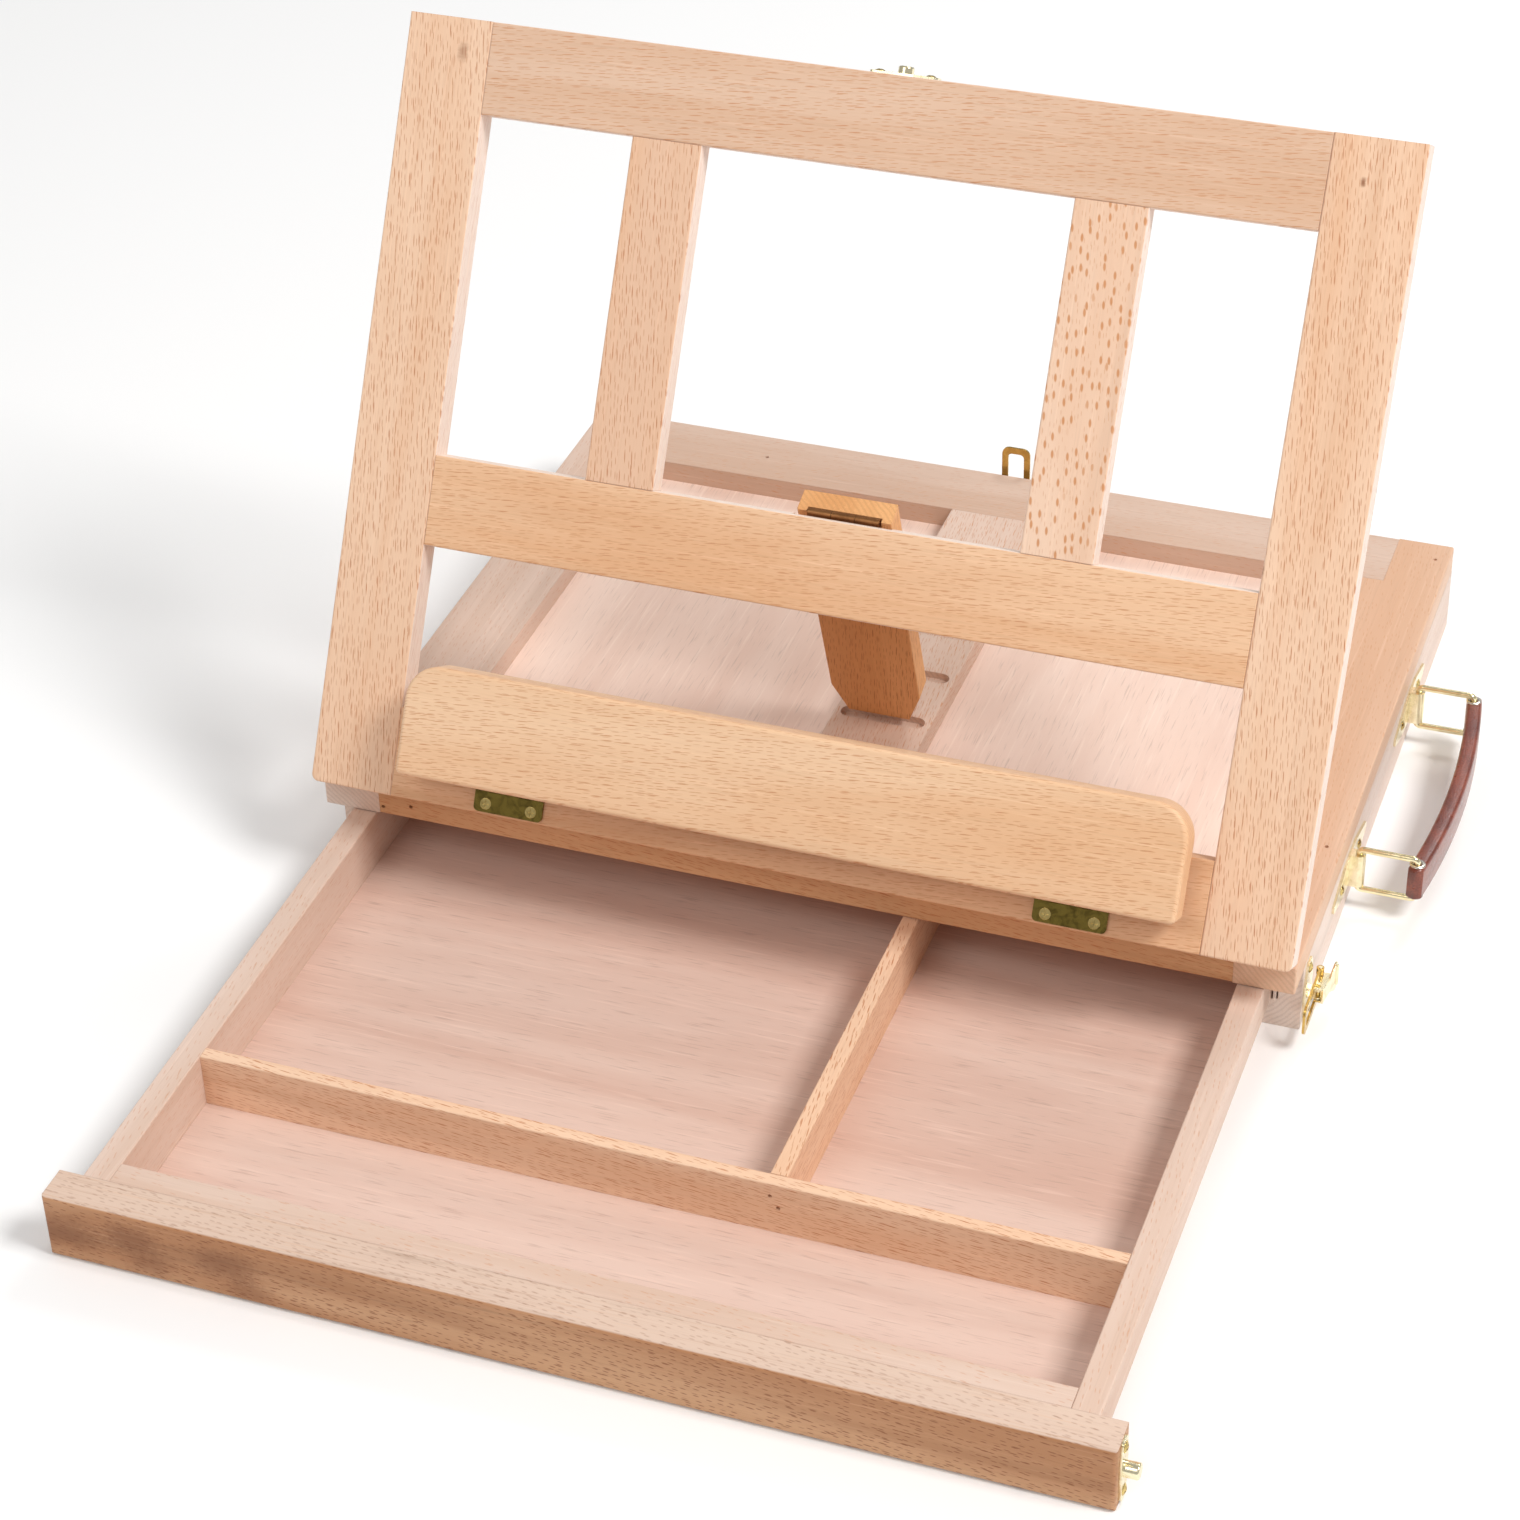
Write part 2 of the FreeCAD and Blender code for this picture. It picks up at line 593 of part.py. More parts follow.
def prop_board():
    half = PROP_WIDTH / 2
    length = prop_length()
    tip = half - PROP_TAPER_WIDTH
    outline = [
        Vector(-half, PROP_END, 0),
        Vector(half, PROP_END, 0),
        Vector(half, length - PROP_TAPER_LENGTH, 0),
        Vector(tip, length, 0),
        Vector(-tip, length, 0),
        Vector(-half, length - PROP_TAPER_LENGTH, 0),
    ]
    board = prism(outline, Vector(0, 0, PROP_THICKNESS))
    board = ease(board, 0.6, along("y"))
    knuckles = knuckle_room(0, 0, 0, HINGE_WIDTH + 1.0)
    recess = block(-HINGE_WIDTH / 2, HINGE_WIDTH / 2, 0, LEAF_LENGTH, -1.0, LEAF_THICKNESS)
    return board.cut([knuckles, recess])


# Ledge

def ledge_board():
    """Ledge board standing in front of the bottom rail, its top corners rounded."""
    half = LEDGE_WIDTH / 2
    s0 = LEDGE_PIN_S + LEAF_OFFSET
    n0 = STOCK + LEDGE_GAP
    board = frame_block(-half, half, s0, s0 + LEDGE_HEIGHT, n0, n0 + LEDGE_THICKNESS)
    top = HINGE_Y + s0 + LEDGE_HEIGHT - 0.1
    bottom = HINGE_Y + s0 + 0.1
    front = BACK_FACE_Z + n0 + LEDGE_THICKNESS - 0.1
    board = ease(board, LEDGE_CORNER, lambda a, b: along("z")(a, b) and a.y > top)
    board = ease(board, 2.5, lambda a, b: along("z")(a, b) and a.y < bottom)
    return ease(board, 1.8, lambda a, b: a.z > front and b.z > front)


# Handle: rectangular wire rings in brackets on the right-hand wall, and a strap between them

def bracket(y):
    """Pointed plate with a raised tunnel for the ring's inner side."""
    wall = WIDTH / 2
    half = BRACKET_LENGTH / 2
    outline = [
        Vector(wall, y - half, HANDLE_Z - BRACKET_TIP),
        Vector(wall, y - BRACKET_SHOULDER, HANDLE_Z - BRACKET_HALF_WIDTH),
        Vector(wall, y + BRACKET_SHOULDER, HANDLE_Z - BRACKET_HALF_WIDTH),
        Vector(wall, y + half, HANDLE_Z - BRACKET_TIP),
        Vector(wall, y + half, HANDLE_Z + BRACKET_TIP),
        Vector(wall, y + BRACKET_SHOULDER, HANDLE_Z + BRACKET_HALF_WIDTH),
        Vector(wall, y - BRACKET_SHOULDER, HANDLE_Z + BRACKET_HALF_WIDTH),
        Vector(wall, y - half, HANDLE_Z + BRACKET_TIP),
    ]
    plate = prism(outline, Vector(PLATE_THICKNESS, 0, 0))
    plate = ease(plate, 1.2, lambda a, b: along("x")(a, b))
    axis_x = wall + RING_AXIS_OFFSET
    low = HANDLE_Z - TUNNEL_LENGTH / 2
    high = HANDLE_Z + TUNNEL_LENGTH / 2
    hump = block(wall + PLATE_THICKNESS / 2, axis_x, y - TUNNEL_RADIUS, y + TUNNEL_RADIUS, low, high)
    tunnel = rod(Vector(axis_x, y, HANDLE_Z), AXIS_Z, TUNNEL_RADIUS, TUNNEL_LENGTH)
    bore = rod(Vector(axis_x, y, HANDLE_Z), AXIS_Z, RING_WIRE + RUNNING_CLEARANCE, 2 * TUNNEL_LENGTH)
    spots = [spot for spot, outward in bracket_screw_spots(y)]
    holes = [rod(spot, AXIS_X, SHANK_RADIUS, 4 * PLATE_THICKNESS) for spot in spots]
    return plate.fuse([hump, tunnel]).cut([bore] + holes).removeSplitter()


def bracket_screw_spots(y):
    x = WIDTH / 2 + PLATE_THICKNESS
    half = BRACKET_SCREW_SPACING / 2
    return [(Vector(x, y + offset, HANDLE_Z), AXIS_X) for offset in (-half, half)]


def elbow(centre, first, last):
    """Quarter bend of the ring's wire, from one direction off its centre to another."""
    circle = Part.makeCircle(RING_WIRE, centre + first * RING_CORNER, last)
    return Part.Face(Part.Wire(circle)).revolve(centre, first.cross(last), 90)


def ring(y):
    """Closed rectangular ring of round wire, its inner side in the bracket."""
    half_x = RING_REACH / 2
    half_z = RING_HEIGHT / 2
    middle = Vector(WIDTH / 2 + RING_AXIS_OFFSET + half_x, y, HANDLE_Z)
    pieces = []
    for side in (-1, 1):
        upright = 2 * (half_z - RING_CORNER)
        level = 2 * (half_x - RING_CORNER)
        pieces.append(rod(middle + AXIS_X * (side * half_x), AXIS_Z, RING_WIRE, upright))
        pieces.append(rod(middle + AXIS_Z * (side * half_z), AXIS_X, RING_WIRE, level))
        for end in (-1, 1):
            centre = middle + Vector(side * (half_x - RING_CORNER), 0, end * (half_z - RING_CORNER))
            pieces.append(elbow(centre, AXIS_X * side, AXIS_Z * end))
    return pieces[0].fuse(pieces[1:]).removeSplitter()


def strap():
    """Padded strap, bowed outwards, with an eye round each ring's outer side."""
    x = WIDTH / 2 + RING_AXIS_OFFSET + RING_REACH
    half = HANDLE_SPACING / 2
    low = HANDLE_Z - STRAP_WIDTH / 2
    inner = STRAP_THICKNESS / 2
    mid_in = Vector(x - inner + STRAP_RISE, HANDLE_Y, low)
    mid_out = Vector(x + inner + STRAP_RISE, HANDLE_Y, low)
    ends_in = [Vector(x - inner, HANDLE_Y + side * half, low) for side in (-1, 1)]
    ends_out = [Vector(x + inner, HANDLE_Y + side * half, low) for side in (-1, 1)]
    edges = [
        Part.Arc(ends_in[0], mid_in, ends_in[1]).toShape(),
        Part.LineSegment(ends_in[1], ends_out[1]).toShape(),
        Part.Arc(ends_out[1], mid_out, ends_out[0]).toShape(),
        Part.LineSegment(ends_out[0], ends_in[0]).toShape(),
    ]
    band = Part.Face(Part.Wire(edges)).extrude(Vector(0, 0, STRAP_WIDTH))
    eyes = []
    bores = []
    for side in (-1, 1):
        centre = Vector(x, HANDLE_Y + side * half, HANDLE_Z)
        eyes.append(rod(centre, AXIS_Z, STRAP_END_RADIUS, STRAP_WIDTH))
        bores.append(rod(centre, AXIS_Z, FERRULE_RADIUS, 2 * STRAP_WIDTH))
    return band.fuse(eyes).cut(bores).removeSplitter()


def ferrules():
    """Metal tubes that line the strap's two eyes."""
    x = WIDTH / 2 + RING_AXIS_OFFSET + RING_REACH
    tubes = []
    for side in (-1, 1):
        centre = Vector(x, HANDLE_Y + side * HANDLE_SPACING / 2, HANDLE_Z)
        tube = rod(centre, AXIS_Z, FERRULE_RADIUS, STRAP_WIDTH + 0.4)
        bore = rod(centre, AXIS_Z, RING_WIRE + FERRULE_CLEARANCE, 2 * STRAP_WIDTH)
        tubes.append(tube.cut(bore))
    return tubes


# Draw latch, made with p along +X, w along +Y and o along +Z, then turned into place

def pointed_plate(length, width, tip):
    """Thin plate, long across w, narrowing to its ends."""
    half = length / 2
    outline = [
        Vector(-tip / 2, -half, 0),
        Vector(tip / 2, -half, 0),
        Vector(width / 2, -LATCH_SHOULDER, 0),
        Vector(width / 2, LATCH_SHOULDER, 0),
        Vector(tip / 2, half, 0),
        Vector(-tip / 2, half, 0),
        Vector(-width / 2, LATCH_SHOULDER, 0),
        Vector(-width / 2, -LATCH_SHOULDER, 0),
    ]
    plate = prism(outline, Vector(0, 0, PLATE_THICKNESS))
    plate = ease(plate, 1.5, along("z"))
    holes = [rod(spot, AXIS_Z, SHANK_RADIUS, 4 * PLATE_THICKNESS) for spot in plate_screw_spots()]
    return plate.cut(holes)


def plate_screw_spots():
    half = LATCH_SCREW_SPACING / 2
    return [Vector(0, side * half, PLATE_THICKNESS) for side in (-1, 1)]


def latch_plate():
    """Latch base with two ears for the lever's pin."""
    p, o = LATCH_PIVOT
    ears = []
    for side in (-1, 1):
        w = side * (LEVER_HALF_WIDTH - LEVER_SHEET - EAR_GAP - EAR_THICKNESS / 2)
        half = EAR_THICKNESS / 2
        ear = block(p - EAR_RADIUS, p + EAR_RADIUS, w - half, w + half, PLATE_THICKNESS / 2, o)
        ears.append(ear.fuse(rod(Vector(p, w, o), AXIS_Y, EAR_RADIUS, EAR_THICKNESS)))
    plate = pointed_plate(LATCH_PLATE_LENGTH, LATCH_PLATE_WIDTH, LATCH_TIP_WIDTH).fuse(ears)
    return plate.cut(rod(Vector(p, 0, o), AXIS_Y, LATCH_PIN_RADIUS, 20.0)).removeSplitter()


def latch_pin():
    p, o = LATCH_PIVOT
    return rod(Vector(p, 0, o), AXIS_Y, LATCH_PIN_RADIUS, 2 * LEVER_HALF_WIDTH + 0.4)


def latch_lever():
    """Shut lever: a small channel over the ears, trunnions for the loop and a wider thumb tab."""
    p, o = LATCH_PIVOT
    trunnion_p, trunnion_o = LATCH_TRUNNION
    top = o + EAR_RADIUS + 0.2 + LEVER_SHEET
    cheeks = []
    for side in (-1, 1):
        w = side * (LEVER_HALF_WIDTH - LEVER_SHEET / 2)
        outline = [
            Vector(p + LEVER_NOSE, w - LEVER_SHEET / 2, o - 1.0),
            Vector(trunnion_p + 0.5, w - LEVER_SHEET / 2, trunnion_o - 0.9),
            Vector(trunnion_p - 1.3, w - LEVER_SHEET / 2, trunnion_o - 0.4),
            Vector(trunnion_p - 2.6, w - LEVER_SHEET / 2, top),
            Vector(p + LEVER_NOSE, w - LEVER_SHEET / 2, top),
        ]
        cheeks.append(prism(outline, Vector(0, LEVER_SHEET, 0)))
    cover = block(-6.0, p + LEVER_NOSE, -LEVER_HALF_WIDTH, LEVER_HALF_WIDTH, top - LEVER_SHEET, top)
    half = LEVER_TAIL_HALF_WIDTH
    outline = [
        Vector(-LEVER_TAIL, -half, top - LEVER_SHEET),
        Vector(-LEVER_TAIL + LEVER_TAIL_EDGE, -half, top - LEVER_SHEET),
        Vector(-LEVER_NECK, -LEVER_HALF_WIDTH, top - LEVER_SHEET),
        Vector(-LEVER_NECK, LEVER_HALF_WIDTH, top - LEVER_SHEET),
        Vector(-LEVER_TAIL + LEVER_TAIL_EDGE, half, top - LEVER_SHEET),
        Vector(-LEVER_TAIL, half, top - LEVER_SHEET),
    ]
    tab = prism(outline, Vector(0, 0, LEVER_SHEET))
    tab = ease(tab, 1.5, lambda a, b: along("z")(a, b) and a.x < -5.0)
    lip = rod(Vector(-LEVER_TAIL + 0.6, 0, top - 0.2), AXIS_Y, LEVER_LIP_RADIUS, 2 * half - 4.0)
    trunnion = rod(Vector(trunnion_p, 0, trunnion_o), AXIS_Y, LATCH_PIN_RADIUS, 2 * LOOP_HALF_WIDTH + 0.6)
    lever = cover.fuse(cheeks + [tab, lip, trunnion])
    bore = rod(Vector(p, 0, o), AXIS_Y, LATCH_PIN_RADIUS + PIN_CLEARANCE, 20.0)
    return lever.cut(bore).removeSplitter()


def latch_loop():
    """Flat loop that drops over the keeper's stud, with an eye on each arm."""
    trunnion_p, trunnion_o = LATCH_TRUNNION
    inner_end = LATCH_REACH + STUD_RADIUS + LOOP_SLACK
    low = trunnion_o - LOOP_SHEET / 2
    high = trunnion_o + LOOP_SHEET / 2
    sheet = block(trunnion_p, inner_end + LOOP_BAND, -LOOP_HALF_WIDTH, LOOP_HALF_WIDTH, low, high)
    sheet = ease(sheet, LOOP_CORNER, lambda a, b: along("z")(a, b) and a.x > inner_end)
    window = block(trunnion_p - 3.0, inner_end, -LOOP_WINDOW_HALF_WIDTH, LOOP_WINDOW_HALF_WIDTH,
                   low - 1, high + 1)
    window = ease(window, 2.0, lambda a, b: along("z")(a, b) and a.x > inner_end - 0.1)
    arms = sheet.cut(window)
    eyes = []
    arm_width = LOOP_HALF_WIDTH - LOOP_WINDOW_HALF_WIDTH
    for side in (-1, 1):
        w = side * (LOOP_HALF_WIDTH + LOOP_WINDOW_HALF_WIDTH) / 2
        eyes.append(rod(Vector(trunnion_p, w, trunnion_o), AXIS_Y, LOOP_EYE_RADIUS, arm_width))
    bore = rod(Vector(trunnion_p, 0, trunnion_o), AXIS_Y, LATCH_PIN_RADIUS + PIN_CLEARANCE, 30.0)
    return arms.fuse(eyes).cut(bore).removeSplitter()


def latch_open(shape, is_loop):
    """Swing a shut latch's lever to its resting angle; the loop stays parallel to the wood."""
    p, o = LATCH_PIVOT
    if is_loop:
        trunnion = Vector(LATCH_TRUNNION[0], 0, LATCH_TRUNNION[1])
        shape = turned(shape, trunnion, AXIS_Y, -LATCH_REST_ANGLE)
    return turned(shape, Vector(p, 0, o), AXIS_Y, LATCH_REST_ANGLE)


def keeper(stud_height):
    """Pointed plate with the stud that a latch loop drops over."""
    plate = pointed_plate(LATCH_PLATE_LENGTH, KEEPER_WIDTH, LATCH_TIP_WIDTH)
    stud = Part.makeCylinder(STUD_RADIUS, stud_height, Vector(0, 0, PLATE_THICKNESS / 2), AXIS_Z)
    top = PLATE_THICKNESS / 2 + stud_height
    stud = ease(stud, 0.8, lambda a, b: a.z > top - 0.1 and b.z > top - 0.1)
    return plate.fuse(stud).removeSplitter()


def onto(origin, p, w, o):
    """Placement that takes local X, Y and Z to the directions p, w and o."""
    matrix = FreeCAD.Matrix(p.x, w.x, o.x, origin.x, p.y, w.y, o.y, origin.y,
                            p.z, w.z, o.z, origin.z, 0, 0, 0, 1)
    return FreeCAD.Placement(matrix)


def onto_place(shape, placement):
    result = shape.copy()
    result.Placement = placement.multiply(result.Placement)
    return result


def latch_places():
    """Where the two latches and their keepers go: drawer latch, then case latch."""
    stud_y = (FRONT_Y + WALL_FRONT_Y) / 2
    drawer_mid_z = WALL_HEIGHT / 2
    drawer_latch = onto(Vector(WIDTH / 2, stud_y + LATCH_REACH, drawer_mid_z), -AXIS_Y, -AXIS_Z, AXIS_X)
    drawer_keeper = onto(Vector(DRAWER_FRONT_WIDTH / 2, stud_y - DRAWER_OPEN, drawer_mid_z),
                         -AXIS_Y, -AXIS_Z, AXIS_X)
    stud_z = BACK_FACE_Z + KEEPER_WIDTH / 2
    case_latch = onto(Vector(0, REAR_Y, stud_z - LATCH_REACH), AXIS_Z, AXIS_X, AXIS_Y)
    frame_keeper = onto(Vector(0, HINGE_Y + FRAME_TOP_S, stud_z), AXIS_Z, AXIS_X, AXIS_Y)
    return drawer_latch, drawer_keeper, case_latch, frame_keeper


def plate_spots(placement):
    """World screw places on a latch plate or keeper."""
    outward = placement.Rotation.multVec(AXIS_Z)
    return [(placement.multVec(spot), outward) for spot in plate_screw_spots()]


# Assembly

def hinge_sets():
    """Frame and ledge hinge leaves and pins, and where each wooden piece takes their screws."""
    leaves = {}
    spots = {"case": [], "frame_shut": [], "ledge_shut": []}
    pins = {"frame": [], "ledge": []}
    face = LEAF_GAP / 2
    for name, side in (("left", -1), ("right", 1)):
        foot = Vector(side * FRAME_HINGE_X, HINGE_Y, HINGE_Z)
        leaves["frame_hinge_lower_leaf_" + name] = moved(butt_leaf(-1, 5, 0, -face), foot)
        leaves["frame_hinge_upper_leaf_" + name] = tilted(moved(butt_leaf(1, 5, 1, face), foot))
        pins["frame"].append(moved(hinge_pin(), foot))
        spots["case"] += [(foot + spot, AXIS_Z) for spot in leaf_screw_spots(-face)]
        spots["frame_shut"] += [(foot + spot, -AXIS_Z) for spot in leaf_screw_spots(face)]

        knuckle = frame_point(side * LEDGE_HINGE_X, LEDGE_PIN_S, LEDGE_PIN_N)
        fixed = turned(butt_leaf(1, 5, 0, face), Vector(0, 0, 0), AXIS_X, 180)
        swinging = turned(butt_leaf(-1, 5, 1, -face), Vector(0, 0, 0), AXIS_X, 90)
        leaves["ledge_hinge_lower_leaf_" + name] = tilted(moved(fixed, knuckle))
        leaves["ledge_hinge_upper_leaf_" + name] = tilted(moved(swinging, knuckle))
        pins["ledge"].append(tilted(moved(hinge_pin(), knuckle)))
        for spot in leaf_screw_spots(face):
            on_rail = Vector(spot.x, -spot.y, -spot.z)
            spots["frame_shut"].append((knuckle + on_rail, AXIS_Z))
        for spot in leaf_screw_spots(-face):
            on_ledge = Vector(spot.x, -spot.z, spot.y)
            spots["ledge_shut"].append((knuckle + on_ledge, -AXIS_Y))
    return leaves, spots, pins


def prop_frame_leaf():
    """Prop hinge leaf let into the crossbar's back face, with the frame shut, and its screw places."""
    pin = frame_point(PROP_X, PROP_PIN_S, PROP_PIN_N)
    face = PROP_PIN_N - PROP_FRAME_LEAF_N
    leaf = turned(butt_leaf(-1, 3, 0, face, SWING_ROOM), Vector(0, 0, 0), AXIS_X, 180)
    spots = [(pin + Vector(spot.x, -spot.y, -spot.z), -AXIS_Z) for spot in leaf_screw_spots(face)]
    return moved(leaf, pin), spots


def build():
    nodes = {}
    leaves, spots, pins = hinge_sets()
    drawer_latch, drawer_keeper, case_latch, frame_keeper = latch_places()
    sides = {"left": -1, "right": 1}

    # Screws that each wooden piece receives
    case_top = spots["case"]
    handle_places = {"front": HANDLE_Y - HANDLE_SPACING / 2, "rear": HANDLE_Y + HANDLE_SPACING / 2}
    handle_spots = []
    for y in handle_places.values():
        handle_spots += bracket_screw_spots(y)
    drawer_latch_spots = plate_spots(drawer_latch)
    case_latch_spots = plate_spots(case_latch)
    keeper_spots = plate_spots(drawer_keeper)
    frame_keeper_spots = plate_spots(frame_keeper)
    frame_leaf, prop_frame_spots = prop_frame_leaf()
    prop_spots = [(spot, -AXIS_Z) for spot in leaf_screw_spots(0)]

    # Box
    nodes["side_wall_left"] = [side_wall(-1)]
    nodes["side_wall_right"] = [drilled(side_wall(1), handle_spots + drawer_latch_spots)]
    nodes["back_wall"] = [back_wall()]
    nodes["top_rail_left"] = [side_rail(-1)]
    nodes["top_rail_right"] = [side_rail(1)]
    nodes["top_rail_front"] = [drilled(front_rail(), case_top)]
    nodes["top_rail_rear"] = [drilled(rear_rail(), case_latch_spots)]
    nodes["top_panel"] = [top_panel()]
    nodes["ratchet_board"] = [ratchet_board()]
    nodes["case_screws"] = flush_screws_at(case_top)
    nodes["case_screws"] += screws_at(handle_spots + drawer_latch_spots + case_latch_spots)

    # Drawer
    nodes["drawer_front"] = [drilled(drawer_front(), keeper_spots)]
    nodes["drawer_inner_front"] = [drawer_inner_front()]
    for name, side in sides.items():
        nodes["drawer_side_" + name] = [drawer_side(side)]
    nodes["drawer_back"] = [drawer_back()]
    nodes["drawer_floor"] = [drawer_floor()]
    nodes["drawer_divider_cross"] = [drawer_divider_cross()]
    nodes["drawer_divider_long"] = [drawer_divider_long()]
    nodes["drawer_keeper"] = [onto_place(keeper(STUD_HEIGHT + STUD_RISE), drawer_keeper)]
    nodes["drawer_screws"] = screws_at(keeper_spots)

    # Canvas frame, drilled while it is shut
    frame_spots = spots["frame_shut"] + prop_frame_spots
    for name, side in sides.items():
        nodes["frame_stile_" + name] = [tilted(frame_stile(side))]
        nodes["frame_upright_" + name] = [tilted(frame_upright(side))]
    nodes["frame_bottom_rail"] = [tilted(drilled(bottom_rail(), spots["frame_shut"]))]
    nodes["frame_crossbar"] = [tilted(drilled(crossbar(), prop_frame_spots))]
    nodes["frame_top_rail"] = [tilted(drilled(frame_cross(TOP_RAIL_S), frame_keeper_spots))]
    nodes["frame_keeper"] = [tilted(onto_place(keeper(STUD_HEIGHT), frame_keeper))]
    frame_screws = flush_screws_at(frame_spots) + screws_at(frame_keeper_spots)
    nodes["frame_screws"] = [tilted(s) for s in frame_screws]

    # Hinges
    for name, leaf in leaves.items():
        nodes[name] = [leaf]
    nodes["frame_hinge_pins"] = pins["frame"]
    nodes["ledge_hinge_pins"] = pins["ledge"]
    prop_pin = frame_point(PROP_X, PROP_PIN_S, PROP_PIN_N)
    nodes["prop_hinge_frame_leaf"] = [tilted(frame_leaf)]
    nodes["prop_hinge_pin"] = [tilted(moved(hinge_pin(), prop_pin))]
    nodes["prop_hinge_prop_leaf"] = [hung(butt_leaf(1, 3, 1, 0, SWING_ROOM))]
    nodes["prop_board"] = [hung(drilled(prop_board(), prop_spots))]
    nodes["prop_screws"] = [hung(s) for s in flush_screws_at(prop_spots)]

    # Ledge
    nodes["ledge_board"] = [tilted(drilled(ledge_board(), spots["ledge_shut"]))]
    nodes["ledge_screws"] = [tilted(s) for s in flush_screws_at(spots["ledge_shut"])]

    # Handle
    for name, y in handle_places.items():
        nodes["handle_bracket_" + name] = [bracket(y)]
        nodes["handle_ring_" + name] = [ring(y)]
    nodes["handle_strap"] = [strap()]
    nodes["handle_ferrules"] = ferrules()

    # Latches
    nodes["latch_pins"] = []
    for name, place in (("drawer", drawer_latch), ("case", case_latch)):
        nodes[name + "_latch_plate"] = [onto_place(latch_plate(), place)]
        nodes[name + "_latch_lever"] = [onto_place(latch_open(latch_lever(), False), place)]
        nodes[name + "_latch_loop"] = [onto_place(latch_open(latch_loop(), True), place)]
        nodes["latch_pins"].append(onto_place(latch_pin(), place))
    return nodes


def main():
    os.makedirs("parts", exist_ok=True)
    for name, solids in build().items():
        shape = solids[0] if len(solids) == 1 else Part.makeCompound(solids)
        shape.exportStep(os.path.join("parts", name + ".step"))


main()
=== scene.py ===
import math
import random

import bpy
import bmesh
from mathutils import Matrix, Vector


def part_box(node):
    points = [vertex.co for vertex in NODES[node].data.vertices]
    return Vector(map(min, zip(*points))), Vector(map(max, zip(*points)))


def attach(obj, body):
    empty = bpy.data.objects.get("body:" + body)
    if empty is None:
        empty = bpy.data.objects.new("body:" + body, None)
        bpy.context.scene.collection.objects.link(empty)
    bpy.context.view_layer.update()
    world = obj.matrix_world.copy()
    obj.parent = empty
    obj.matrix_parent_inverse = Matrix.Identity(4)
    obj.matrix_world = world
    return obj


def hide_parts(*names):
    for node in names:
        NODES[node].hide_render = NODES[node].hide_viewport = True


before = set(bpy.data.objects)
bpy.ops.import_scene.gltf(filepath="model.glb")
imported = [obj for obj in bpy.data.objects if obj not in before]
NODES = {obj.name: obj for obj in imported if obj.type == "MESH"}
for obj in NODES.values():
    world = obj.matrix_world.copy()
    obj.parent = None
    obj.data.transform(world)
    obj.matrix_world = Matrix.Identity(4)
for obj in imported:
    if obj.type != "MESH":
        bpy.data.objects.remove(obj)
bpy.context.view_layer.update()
random.seed(7)

# The canvas frame's tilt and the prop's slope at rest, and the directions they give
TILT = math.radians(60.4)
SLOPE = math.radians(71.0)
ALONG_X = Vector((1, 0, 0))
ALONG_Y = Vector((0, 1, 0))
UP = Vector((0, 0, 1))
FRAME_UP = Vector((0, math.cos(TILT), math.sin(TILT)))
FRAME_OUT = Vector((0, -math.sin(TILT), math.cos(TILT)))
PROP_DOWN = Vector((0, math.cos(SLOPE), -math.sin(SLOPE)))
PROP_OUT = Vector((0, math.sin(SLOPE), math.cos(SLOPE)))


